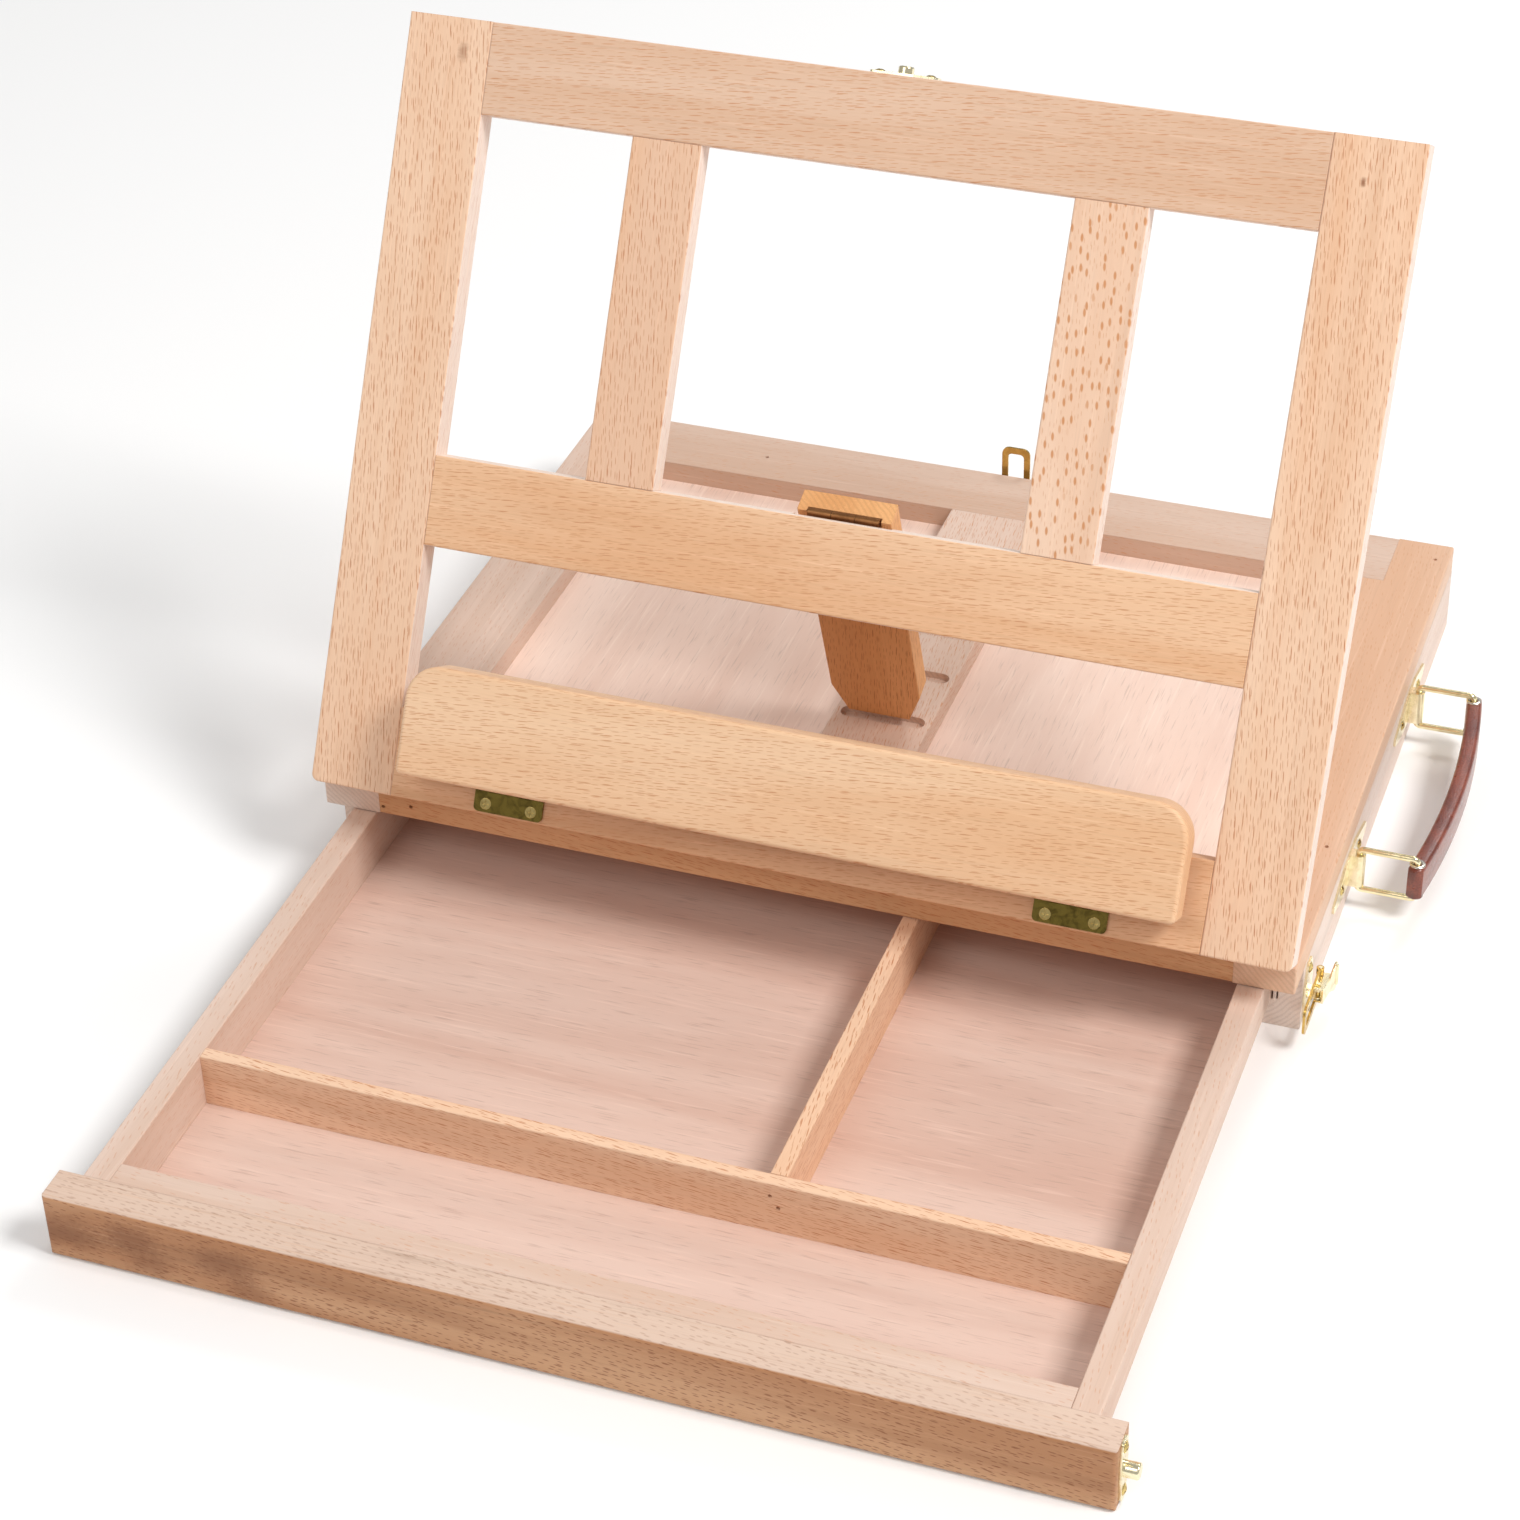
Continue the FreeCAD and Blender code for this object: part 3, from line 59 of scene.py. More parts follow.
class Nodes:
    """Short ways to build one material's node tree."""

    def __init__(self, name):
        self.material = bpy.data.materials.new(name)
        self.material.use_nodes = True
        self.tree = self.material.node_tree
        self.tree.nodes.clear()
        self.out = self.tree.nodes.new("ShaderNodeOutputMaterial")
        self.shader = self.tree.nodes.new("ShaderNodeBsdfPrincipled")
        self.tree.links.new(self.shader.outputs[0], self.out.inputs[0])

    def put(self, socket, value):
        if isinstance(value, bpy.types.NodeSocket):
            self.tree.links.new(value, socket)
        elif value is not None:
            socket.default_value = value

    def math(self, kind, a, b=None, clamp=False):
        node = self.tree.nodes.new("ShaderNodeMath")
        node.operation = kind
        node.use_clamp = clamp
        self.put(node.inputs[0], a)
        self.put(node.inputs[1], b)
        return node.outputs[0]

    def vector(self, kind, a, b):
        node = self.tree.nodes.new("ShaderNodeVectorMath")
        node.operation = kind
        self.put(node.inputs[0], a)
        self.put(node.inputs[1], b)
        return node.outputs["Value" if kind in ("DOT_PRODUCT", "LENGTH") else "Vector"]

    def xyz(self, vector):
        node = self.tree.nodes.new("ShaderNodeSeparateXYZ")
        self.put(node.inputs[0], vector)
        return node.outputs

    def join(self, x, y, z):
        node = self.tree.nodes.new("ShaderNodeCombineXYZ")
        for socket, value in zip(node.inputs, (x, y, z)):
            self.put(socket, value)
        return node.outputs[0]

    def coordinates(self, grain, face, offset):
        """Object position turned so that the grain runs along y and the broad face looks along z,
        and how far the surface looks along the grain and across it.
        """
        source = self.tree.nodes.new("ShaderNodeTexCoord")
        turn = Matrix((grain.cross(face), grain, face)).to_euler("XYZ")
        place = self.tree.nodes.new("ShaderNodeMapping")
        place.inputs["Rotation"].default_value = turn
        place.inputs["Location"].default_value = offset
        self.put(place.inputs[0], source.outputs["Object"])
        looks = [self.vector("DOT_PRODUCT", source.outputs["Normal"], tuple(direction))
                 for direction in (grain, grain.cross(face))]
        return place.outputs[0], self.math("ABSOLUTE", looks[0]), self.math("ABSOLUTE", looks[1])

    def scaled(self, vector, x, y, z):
        return self.vector("MULTIPLY", vector, (x, y, z))

    def noise(self, vector, scale=1.0, detail=2.0, rough=0.5, distortion=0.0):
        node = self.tree.nodes.new("ShaderNodeTexNoise")
        self.put(node.inputs["Vector"], vector)
        node.inputs["Scale"].default_value = scale
        node.inputs["Detail"].default_value = detail
        node.inputs["Roughness"].default_value = rough
        node.inputs["Distortion"].default_value = distortion
        return node.outputs[0]

    def voronoi(self, vector):
        """Distance to the nearest of a set of scattered points."""
        node = self.tree.nodes.new("ShaderNodeTexVoronoi")
        self.put(node.inputs["Vector"], vector)
        node.inputs["Scale"].default_value = 1.0
        return node.outputs["Distance"]

    def voronoi_cells(self, vector):
        """Feature point and random colour of the flat cell that a point is in."""
        node = self.tree.nodes.new("ShaderNodeTexVoronoi")
        node.voronoi_dimensions = "2D"
        self.put(node.inputs["Vector"], vector)
        node.inputs["Scale"].default_value = 1.0
        node.inputs["Randomness"].default_value = CELL_SCATTER
        return node.outputs["Position"], node.outputs["Color"]

    def step(self, value, low, high):
        """0 below low, 1 above high, smooth between; the two may be given in falling order."""
        node = self.tree.nodes.new("ShaderNodeMapRange")
        node.interpolation_type = "SMOOTHSTEP"
        self.put(node.inputs["Value"], value)
        self.put(node.inputs["From Min"], low)
        self.put(node.inputs["From Max"], high)
        return node.outputs[0]

    def mix(self, factor, a, b):
        """Colour between a and b, each a socket or a linear colour."""
        node = self.tree.nodes.new("ShaderNodeMix")
        node.data_type = "RGBA"
        self.put(node.inputs[0], factor)
        self.put(node.inputs[6], a if isinstance(a, bpy.types.NodeSocket) else (*a, 1.0))
        self.put(node.inputs[7], b if isinstance(b, bpy.types.NodeSocket) else (*b, 1.0))
        return node.outputs[2]

    def bump(self, height, distance, strength, radius=0.0):
        """Relief of a given depth, over edges softened to a given radius."""
        node = self.tree.nodes.new("ShaderNodeBump")
        self.put(node.inputs["Height"], height)
        node.inputs["Distance"].default_value = distance
        node.inputs["Strength"].default_value = strength
        if radius:
            edge = self.tree.nodes.new("ShaderNodeBevel")
            edge.samples = 4
            edge.inputs["Radius"].default_value = radius
            self.put(node.inputs["Normal"], edge.outputs[0])
        self.put(self.shader.inputs["Normal"], node.outputs[0])


def srgb(r, g, b):
    """Linear colour from 0-255 display values."""
    def one(v):
        v /= 255.0
        return v / 12.92 if v <= 0.04045 else ((v + 0.055) / 1.055) ** 2.4
    return one(r), one(g), one(b)


# Layers of flecks: cell width and length, half width and half length of a fleck (metres), the
# share of the cells filled, and strength
FINE = ((0.0014, 0.0042, 0.00016, 0.0018, 0.9, 0.6), (0.0024, 0.0076, 0.00021, 0.0030, 0.65, 0.7))
SPARSE = ((0.0015, 0.0042, 0.00019, 0.0014, 0.6, 0.4), (0.0030, 0.0075, 0.00026, 0.0020, 0.3, 0.45))
DENSE = ((0.0018, 0.0042, 0.00026, 0.0013, 0.95, 0.7), (0.0030, 0.0064, 0.00032, 0.0018, 0.6, 0.7))
BOLD = ((0.0033, 0.0062, 0.00062, 0.0018, 0.85, 0.85), (0.0013, 0.0034, 0.00018, 0.0012, 0.7, 0.4))
# How far a fleck strays from the middle of its cell, how strong the fibres are, and the shares of
# red, green and blue left in a knot
CELL_SCATTER = 0.75
FIBRE = 0.4
BURNT = (0.38, 0.25, 0.18)
# Softened edges of the boards and of the fittings (metres)
WOOD_EDGE = 0.0005
METAL_EDGE = 0.0002


def darker(colour, share):
    return tuple(c * share for c in colour)


def paler(colour, share, lift=0.0):
    return tuple(min(1.0, c * share + lift) for c in colour)


def add_rings(m, place, x, z, side, colour, deep, strength):
    """Ring lines along the grain, strong in some patches and gone in others."""
    wobble = m.noise(m.scaled(place, 14, 2.0, 14), detail=2)
    across = m.math("ADD", m.math("MULTIPLY", x, 260), m.math("MULTIPLY", wobble, 18))
    line = m.math("SINE", m.math("ADD", across, m.math("MULTIPLY", z, 170)))
    line = m.step(line, 0.1, 1.0)
    patch = m.step(m.noise(m.scaled(place, 9, 2.2, 9)), 0.42, 0.68)
    amount = m.math("MULTIPLY", m.math("MULTIPLY", line, patch), strength)
    return m.mix(m.math("MULTIPLY", amount, side), colour, darker(deep, 0.78))


def add_heartwood(m, place, colour, deep, strength):
    """Dark streaks in a few places."""
    dark = m.noise(m.scaled(place, 190, 5.5, 190), detail=4, rough=0.7, distortion=1.6)
    where = m.step(m.noise(m.scaled(place, 26, 7, 26), detail=2), 0.5, 0.68)
    dark = m.math("MULTIPLY", m.math("MULTIPLY", m.step(dark, 0.52, 0.74), where), strength)
    return m.mix(dark, colour, darker(deep, 0.34))


def add_fibres(m, place, colour, light, deep):
    """Fine dark and pale fibres; also gives the dark ones' height."""
    strand = m.noise(m.scaled(place, 1700, 26, 1700), detail=3, rough=0.6)
    strands = m.math("MULTIPLY", m.step(strand, 0.5, 0.72), FIBRE)
    colour = m.mix(m.math("MULTIPLY", strands, 0.7), colour, darker(deep, 0.8))
    pale = m.math("MULTIPLY", m.step(m.noise(m.scaled(place, 900, 18, 900)), 0.55, 0.8), FIBRE)
    return m.mix(pale, colour, paler(light, 1.12, 0.02)), strand


def add_flecks(m, position, side, colour, fleck, layers):
    """Short flecks along the grain, one to a cell; also gives where they are."""
    x, y, z = position
    mark = 0.0
    slanted = m.math("ADD", m.math("ADD", x, m.math("MULTIPLY", z, 0.83)), m.math("MULTIPLY", y, 0.1))
    for width, length, half_width, half_length, share, strength in layers:
        cells = m.join(m.math("DIVIDE", slanted, width), m.math("DIVIDE", y, length), 0.0)
        middle, chances = m.voronoi_cells(cells)
        chance = m.xyz(chances)[0]
        away = m.vector("SUBTRACT", cells, middle)
        away = m.scaled(away, width / half_width, length / half_length, 0.0)
        spot = m.step(m.vector("LENGTH", away, (0, 0, 0)), 1.15, 0.55)
        spot = m.math("MULTIPLY", spot, m.step(chance, 1.0 - share, 1.35 - share))
        spot = m.math("MULTIPLY", spot, side)
        colour = m.mix(m.math("MULTIPLY", spot, strength), colour, fleck)
        mark = m.math("MAXIMUM", spot, mark)
    return colour, mark


def add_knots(m, place, grain, colour, deep, knots):
    """Ragged dark marks, drawn out along the grain."""
    source = m.tree.nodes.new("ShaderNodeTexCoord")
    burnt = tuple(c * share for c, share in zip(deep, BURNT))
    for centre, radius, strength in knots:
        away = m.vector("SUBTRACT", source.outputs["Object"], tuple(centre))
        along = m.vector("DOT_PRODUCT", away, tuple(grain * 0.5))
        reach = m.vector("LENGTH", away, (0, 0, 0))
        reach = m.math("SUBTRACT", reach, m.math("ABSOLUTE", along))
        ragged = m.math("MULTIPLY", m.noise(place, 700, 2), radius * 0.7)
        spot = m.step(m.math("ADD", reach, ragged), radius * 1.5, radius * 0.6)
        colour = m.mix(m.math("MULTIPLY", spot, strength), colour, burnt)
    return colour


def add_end_grain(m, place, x, z, end, colour, deep, fleck):
    """Arcs of the year rings and open pores where the grain is cut across."""
    arcs = m.math("SINE", m.math("ADD", m.math("MULTIPLY", m.math("ADD", x, z), 2300),
                                 m.math("MULTIPLY", m.noise(m.scaled(place, 60, 60, 60)), 14)))
    arcs = m.math("MULTIPLY", m.step(arcs, -0.4, 1.0), m.math("MULTIPLY", end, 0.3))
    colour = m.mix(arcs, colour, darker(deep, 0.7))
    pores = m.step(m.noise(place, 2600, 1), 0.62, 0.7)
    return m.mix(m.math("MULTIPLY", m.math("MULTIPLY", pores, end), 0.35), colour, fleck)


def wood(name, light, deep, grain=ALONG_Y, face=UP, fleck=srgb(140, 84, 48), layers=FINE,
         rings=0.35, streak=0.0, knots=(), edge=None):
    """Planed beech: broad tone, ring lines, fine fibres and short dark flecks along the grain.

    streak adds dark heartwood streaks, knots are marks given as (position, radius, strength), and
    edge is the colour of the two narrow sides along the grain, a paler colour painted on as light falling on
    them.
    """
    m = Nodes(name)
    offset = (random.uniform(0, 3), random.uniform(0, 3), random.uniform(0, 3))
    place, end, narrow = m.coordinates(grain, face, offset)
    x, y, z = m.xyz(place)[:]
    end = m.step(end, 0.6, 0.9)
    side = m.math("SUBTRACT", 1.0, end)

    tone = m.noise(m.scaled(place, 30, 2.4, 30), detail=4, rough=0.6, distortion=0.5)
    colour = m.mix(m.step(tone, 0.32, 0.68), light, deep)
    colour = add_rings(m, place, x, z, side, colour, deep, rings)
    # Painted light: the narrow sides get the paler edge colour and fewer flecks, as if lit more than the
    # broad faces
    if edge:
        narrow = m.step(narrow, 0.6, 0.9)
        colour = m.mix(m.math("MULTIPLY", narrow, 0.85), colour, edge)
        side = m.math("SUBTRACT", side, m.math("MULTIPLY", narrow, 0.6), clamp=True)
    if streak:
        colour = add_heartwood(m, place, colour, deep, streak)
    colour, strand = add_fibres(m, place, colour, light, deep)
    colour, mark = add_flecks(m, (x, y, z), side, colour, fleck, layers)
    colour = add_knots(m, place, grain, colour, deep, knots)
    colour = add_end_grain(m, place, x, z, end, colour, deep, fleck)

    m.put(m.shader.inputs["Base Color"], colour)
    haze = m.noise(m.scaled(place, 90, 30, 90), detail=2)
    m.put(m.shader.inputs["Roughness"], m.math("ADD", 0.42, m.math("MULTIPLY", haze, 0.16)))
    m.shader.inputs["Specular IOR Level"].default_value = 0.35
    height = m.math("SUBTRACT", m.math("MULTIPLY", strand, 0.5), m.math("MULTIPLY", mark, 0.3))
    m.bump(height, 0.00008, 0.5, WOOD_EDGE)
    return m.material


def plywood(name, light, deep, grain):
    """Rotary-cut veneer: long fine pores and soft pinkish bands along the grain."""
    m = Nodes(name)
    offset = (random.uniform(0, 3), random.uniform(0, 3), random.uniform(0, 3))
    place, end, _ = m.coordinates(grain, UP, offset)
    band = m.noise(m.scaled(place, 22, 1.6, 22), detail=4, rough=0.6, distortion=0.6)
    colour = m.mix(m.step(band, 0.3, 0.7), light, deep)
    pore = m.noise(m.scaled(place, 1300, 60, 1300), detail=2, rough=0.6)
    dark = m.step(pore, 0.56, 0.72)
    colour = m.mix(m.math("MULTIPLY", dark, 0.42), colour, darker(deep, 0.62))
    glow = m.step(m.noise(m.scaled(place, 700, 26, 700), detail=2), 0.55, 0.75)
    colour = m.mix(m.math("MULTIPLY", glow, 0.4), colour, paler(light, 1.15))
    layer = m.math("SINE", m.math("MULTIPLY", m.xyz(place)[2], 6000))
    plies = m.math("MULTIPLY", m.step(layer, 0, 1), end)
    colour = m.mix(m.math("MULTIPLY", plies, 0.4), colour, darker(deep, 0.6))
    m.put(m.shader.inputs["Base Color"], colour)
    haze = m.noise(m.scaled(place, 120, 20, 120), detail=2)
    m.put(m.shader.inputs["Roughness"], m.math("ADD", 0.46, m.math("MULTIPLY", haze, 0.18)))
    m.shader.inputs["Specular IOR Level"].default_value = 0.3
    m.bump(m.math("SUBTRACT", pore, dark), 0.00008, 0.5)
    return m.material


def metal(name, colour, shade, rough=0.2, grain=300.0, patches=0.5):
    """Pressed and plated sheet: slow dark patches, partly tarnished and partly painted dark reflections, fine
    rubbing marks and small dents.
    """
    m = Nodes(name)
    place = m.coordinates(ALONG_Y, UP, (random.uniform(0, 3), 0, 0))[0]
    tarnish_and_reflection = m.noise(place, 240, 4, 0.6, 0.8)
    # Painted reflection: the dark patches towards the shade colour stand partly for tarnished metal and
    # partly for dark surroundings reflected in the metal
    worn_and_reflected = m.mix(m.math("MULTIPLY", m.step(tarnish_and_reflection, 0.4, 0.68), patches), colour, shade)
    rub = m.noise(m.scaled(place, grain * 6, grain, grain * 6), detail=3)
    worn_and_reflected = m.mix(m.math("MULTIPLY", m.step(rub, 0.6, 0.8), 0.25), worn_and_reflected, paler(colour, 1.15))
    m.put(m.shader.inputs["Base Color"], worn_and_reflected)
    m.shader.inputs["Metallic"].default_value = 1.0
    wear = m.math("ADD", m.math("MULTIPLY", tarnish_and_reflection, 0.16), m.math("MULTIPLY", rub, 0.08))
    m.put(m.shader.inputs["Roughness"], m.math("ADD", rough - 0.1, wear))
    dents = m.math("ADD", m.noise(place, 320, 2), m.math("MULTIPLY", rub, 0.15))
    m.bump(dents, 0.00005, 0.5, METAL_EDGE)
    return m.material


def leather(name, colour, deep, gloss):
    """Smooth dyed leather: pebbled grain, creases and a worn sheen."""
    m = Nodes(name)
    place = m.coordinates(ALONG_Y, UP, (0.3, 0.7, 0.1))[0]
    pebble = m.voronoi(m.scaled(place, 1500, 1300, 1500))
    crease = m.noise(m.scaled(place, 500, 180, 500), detail=4, rough=0.65)
    tone = m.noise(m.scaled(place, 160, 60, 160), detail=3)
    dyed = m.mix(m.step(tone, 0.35, 0.7), colour, deep)
    dyed = m.mix(m.math("MULTIPLY", m.step(pebble, 0.35, 0.75), 0.35), dyed, darker(deep, 0.5))
    m.put(m.shader.inputs["Base Color"], dyed)
    m.put(m.shader.inputs["Roughness"], m.math("ADD", gloss - 0.06, m.math("MULTIPLY", crease, 0.2)))
    m.shader.inputs["Coat Weight"].default_value = 0.5
    m.shader.inputs["Coat Roughness"].default_value = 0.22
    height = m.math("SUBTRACT", m.math("MULTIPLY", crease, 0.8), m.math("MULTIPLY", pebble, 0.6))
    m.bump(height, 0.00025, 0.6)
    return m.material


# Colours of the woods and of their flecks
BEECH = srgb(240, 204, 174)
BEECH_DEEP = srgb(230, 184, 148)
PINK = srgb(226, 202, 187)
PINK_DEEP = srgb(215, 184, 164)
# LIT_SIDE_PALE is a paler tone for sides that face the strongest lamp: painted light
LIT_SIDE_PALE = srgb(238, 222, 211)
TAN = srgb(216, 166, 122)
TAN_DEEP = srgb(194, 140, 96)
DARK_FLECK = srgb(184, 108, 60)
SOFT_FLECK = srgb(200, 136, 92)
BOLD_FLECK = srgb(204, 136, 82)

# The canvas frame's hinge pins, and how far its front face stands out from their axis
HINGE = Vector((0, -0.299, 0.0421))
FACE_HEIGHT = 0.0131

# Smudges near the left end of the drawer's front: x, z, radius (metres) and strength
SMUDGES = ((-0.1905, 0.014, 0.009, 0.45), (-0.163, 0.018, 0.007, 0.5), (-0.157, 0.008, 0.006, 0.4),
           (-0.126, 0.016, 0.008, 0.45), (-0.118, 0.006, 0.006, 0.35))
SMUDGE_Y = -0.547

# The strap: how far its eyes are inside the rings' ends, its thickness and corners, how far it bows
# out (metres), and the shares of its half length where the bow ends and its ends begin to round off
STRAP_INSET = 0.0013
STRAP_THICKNESS = 0.0066
STRAP_CORNER = 0.0017
STRAP_BOW = 0.0050
STRAP_BOW_END = 0.96
STRAP_SHOULDER = 0.965
STRAP_STEPS = 96
# An eyelet's rim: mean radius, half width, height and how far it is lifted off the leather (metres)
EYELET_RADIUS = 0.00235
EYELET_WIRE = 0.00085
EYELET_RISE = 0.00045
EYELET_LIFT = 0.00005

# The studio: what the lamps point at, how far off they are, and the floor's half width (metres)
TARGET = Vector((0.0, -0.25, 0.05))
LAMP_DISTANCE = 3.0
FLOOR_HALF_WIDTH = 6.0

# The camera: where it stands, where it looks and which way is its right
CAMERA_AT = Vector((0.38922, -1.36474, 0.91483))
CAMERA_FORWARD = Vector((-0.284737, 0.759275, -0.585172)).normalized()
CAMERA_RIGHT = Vector((0.942046, 0.334607, -0.024226)).normalized()


def on_frame(x, s):
    """Point on the canvas frame's front face, s up it from the hinge pins."""
    return Vector((x, 0, 0)) + HINGE + FRAME_UP * s + FRAME_OUT * FACE_HEIGHT


def paint(material, *names):
    for name in names:
        node = NODES[name]
        node.data.materials.clear()
        node.data.materials.append(material)


def dress_box():
    paint(wood("rail_left", PINK, PINK_DEEP, ALONG_Y, fleck=SOFT_FLECK, layers=SPARSE), "top_rail_left")
    paint(wood("rail_right", srgb(228, 192, 165), srgb(218, 174, 142), ALONG_Y, fleck=SOFT_FLECK,
               layers=SPARSE, rings=0.5), "top_rail_right")
    paint(wood("rail_front", TAN, TAN_DEEP, ALONG_X, fleck=DARK_FLECK), "top_rail_front")
    paint(wood("rail_rear", srgb(217, 190, 172), srgb(207, 174, 152), ALONG_X, fleck=SOFT_FLECK,
               layers=SPARSE, rings=0.5), "top_rail_rear")
    paint(wood("ratchet", PINK, PINK_DEEP, ALONG_Y, fleck=SOFT_FLECK), "ratchet_board")
    paint(wood("wall_left", PINK, PINK_DEEP, ALONG_Y, ALONG_X, SOFT_FLECK, SPARSE), "side_wall_left")
    # Painted light: the right wall gets paler tones than the left wall, for its side facing the strongest
    # lamp
    paint(wood("wall_right", LIT_SIDE_PALE, PINK, ALONG_Y, ALONG_X, SOFT_FLECK, SPARSE), "side_wall_right")
    paint(wood("wall_back", PINK, PINK_DEEP, ALONG_X, ALONG_Y, SOFT_FLECK, SPARSE), "back_wall")
    paint(plywood("panel_ply", srgb(244, 220, 206), srgb(233, 203, 187), ALONG_Y), "top_panel")


def dress_frame():
    light, deep = BEECH, BEECH_DEEP
    # The edge colour paints the narrow sides of the stiles and rails paler: painted light
    paint(wood("stile_left_wood", light, deep, FRAME_UP, FRAME_OUT, DARK_FLECK, rings=0.2, edge=LIT_SIDE_PALE,
               knots=[(on_frame(-0.176, 0.292), 0.0022, 0.5)]), "frame_stile_left")
    marks = [(on_frame(0.1783, 0.2885), 0.0010, 0.9), (on_frame(0.1645, 0.144), 0.0012, 0.9)]
    paint(wood("stile_right_wood", light, deep, FRAME_UP, FRAME_OUT, DARK_FLECK, rings=0.2, edge=LIT_SIDE_PALE,
               knots=marks), "frame_stile_right")
    paint(wood("upright_left_wood", srgb(230, 190, 160), deep, FRAME_UP, FRAME_OUT, DARK_FLECK, edge=LIT_SIDE_PALE),
          "frame_upright_left")
    paint(wood("upright_right_wood", srgb(241, 209, 184), srgb(234, 194, 164), FRAME_UP, FRAME_OUT,
               BOLD_FLECK, BOLD, edge=LIT_SIDE_PALE), "frame_upright_right")
    paint(wood("rail_top_wood", srgb(226, 192, 166), srgb(216, 174, 142), ALONG_X, FRAME_OUT,
               SOFT_FLECK, edge=LIT_SIDE_PALE), "frame_top_rail")
    paint(wood("crossbar_wood", srgb(238, 197, 160), srgb(226, 176, 134), ALONG_X, FRAME_OUT,
               SOFT_FLECK, edge=LIT_SIDE_PALE), "frame_crossbar")
    paint(wood("rail_bottom_wood", srgb(234, 190, 152), srgb(220, 166, 122), ALONG_X, FRAME_OUT,
               SOFT_FLECK), "frame_bottom_rail")
    paint(wood("ledge_wood", srgb(242, 206, 170), srgb(232, 186, 144), ALONG_X, FRAME_OUT,
               SOFT_FLECK), "ledge_board")
    paint(wood("prop_wood", srgb(230, 174, 118), srgb(216, 156, 100), PROP_DOWN, PROP_OUT,
               srgb(172, 106, 60)), "prop_board")


def dress_drawer():
    smudges = [((x, SMUDGE_Y, z), radius, strength) for x, z, radius, strength in SMUDGES]
    # Partly painted shade: the drawer front's colours are darker than the other boards, for its own darker
    # wood and for the shade on its upright front face; its narrow top and bottom sides get a paler edge
    # colour as painted light
    paint(wood("drawer_front_shaded_wood", srgb(206, 160, 122), srgb(178, 124, 84), ALONG_X, ALONG_Y,
               srgb(134, 78, 44), DENSE, rings=0.9, streak=0.5, knots=smudges, edge=srgb(224, 200, 183)),
          "drawer_front")
    paint(wood("drawer_inner_wood", PINK, PINK_DEEP, ALONG_X, ALONG_Y, SOFT_FLECK, SPARSE),
          "drawer_inner_front")
    for name in ("drawer_side_left", "drawer_side_right"):
        paint(wood(name + "_wood", PINK, PINK_DEEP, ALONG_Y, ALONG_X, SOFT_FLECK, SPARSE), name)
    paint(wood("drawer_back_wood", PINK, PINK_DEEP, ALONG_X, ALONG_Y, SOFT_FLECK, SPARSE), "drawer_back")
    paint(wood("divider_cross_wood", BEECH, BEECH_DEEP, ALONG_X, ALONG_Y, DARK_FLECK),
          "drawer_divider_cross")
    paint(wood("divider_long_wood", BEECH, BEECH_DEEP, ALONG_Y, ALONG_X, DARK_FLECK), "drawer_divider_long")
    paint(plywood("floor_ply", srgb(226, 198, 184), srgb(212, 176, 160), ALONG_X), "drawer_floor")


def dress_hardware():
    brass = metal("brass_plate", srgb(250, 240, 206), srgb(214, 194, 136), 0.2)
    wire = metal("brass_wire", srgb(250, 240, 200), srgb(216, 194, 130), 0.16, 500)
    leaf = metal("brass_leaf", srgb(150, 128, 62), srgb(92, 76, 34), 0.16, 300, 0.8)
    knuckle = metal("brass_knuckle", srgb(226, 198, 118), srgb(160, 128, 58), 0.18)
    loop = metal("brass_loop", srgb(214, 180, 104), srgb(160, 122, 56), 0.22)
    screw = metal("screw_brass", srgb(216, 192, 124), srgb(150, 124, 66), 0.2)
    # Painted shade: the prop's hinge is coloured a dark brown close to the shadow around it, so that it reads
    # as a shadow gap
    shadow_brown = metal("shadow_brown_brass", srgb(150, 104, 66), srgb(104, 68, 40), 0.45)
    for name in NODES:
        if name.startswith("prop_hinge"):
            paint(shadow_brown, name)
        elif "hinge" in name and "leaf" in name:
            paint(leaf, name)
        elif "pin" in name:
            paint(knuckle, name)
        elif "screws" in name:
            paint(screw, name)
        elif "ring" in name:
            paint(wire, name)
        elif "loop" in name:
            paint(loop, name)
        elif any(word in name for word in ("bracket", "latch", "keeper")):
            paint(brass, name)


def smooth(obj, angle=32.0):
    for polygon in obj.data.polygons:
        polygon.use_smooth = True
    obj.data.set_sharp_from_angle(angle=math.radians(angle))


def new_object(name, mesh, material):
    obj = bpy.data.objects.new(name, mesh)
    bpy.context.scene.collection.objects.link(obj)
    obj.data.materials.append(material)
    return obj


def swept(name, sections, material, closed_ends=True):
    """Mesh through a list of equal rings of points."""
    bm = bmesh.new()
    rings = [[bm.verts.new(p) for p in section] for section in sections]
    count = len(rings[0])
    for a, b in zip(rings, rings[1:]):
        for i in range(count):
            bm.faces.new((a[i], a[(i + 1) % count], b[(i + 1) % count], b[i]))
    if closed_ends:
        bm.faces.new(list(reversed(rings[0])))
        bm.faces.new(rings[-1])
    bmesh.ops.recalc_face_normals(bm, faces=bm.faces)
    mesh = bpy.data.meshes.new(name)
    bm.to_mesh(mesh)
    bm.free()
    obj = new_object(name, mesh, material)
    smooth(obj, 40)
    return obj


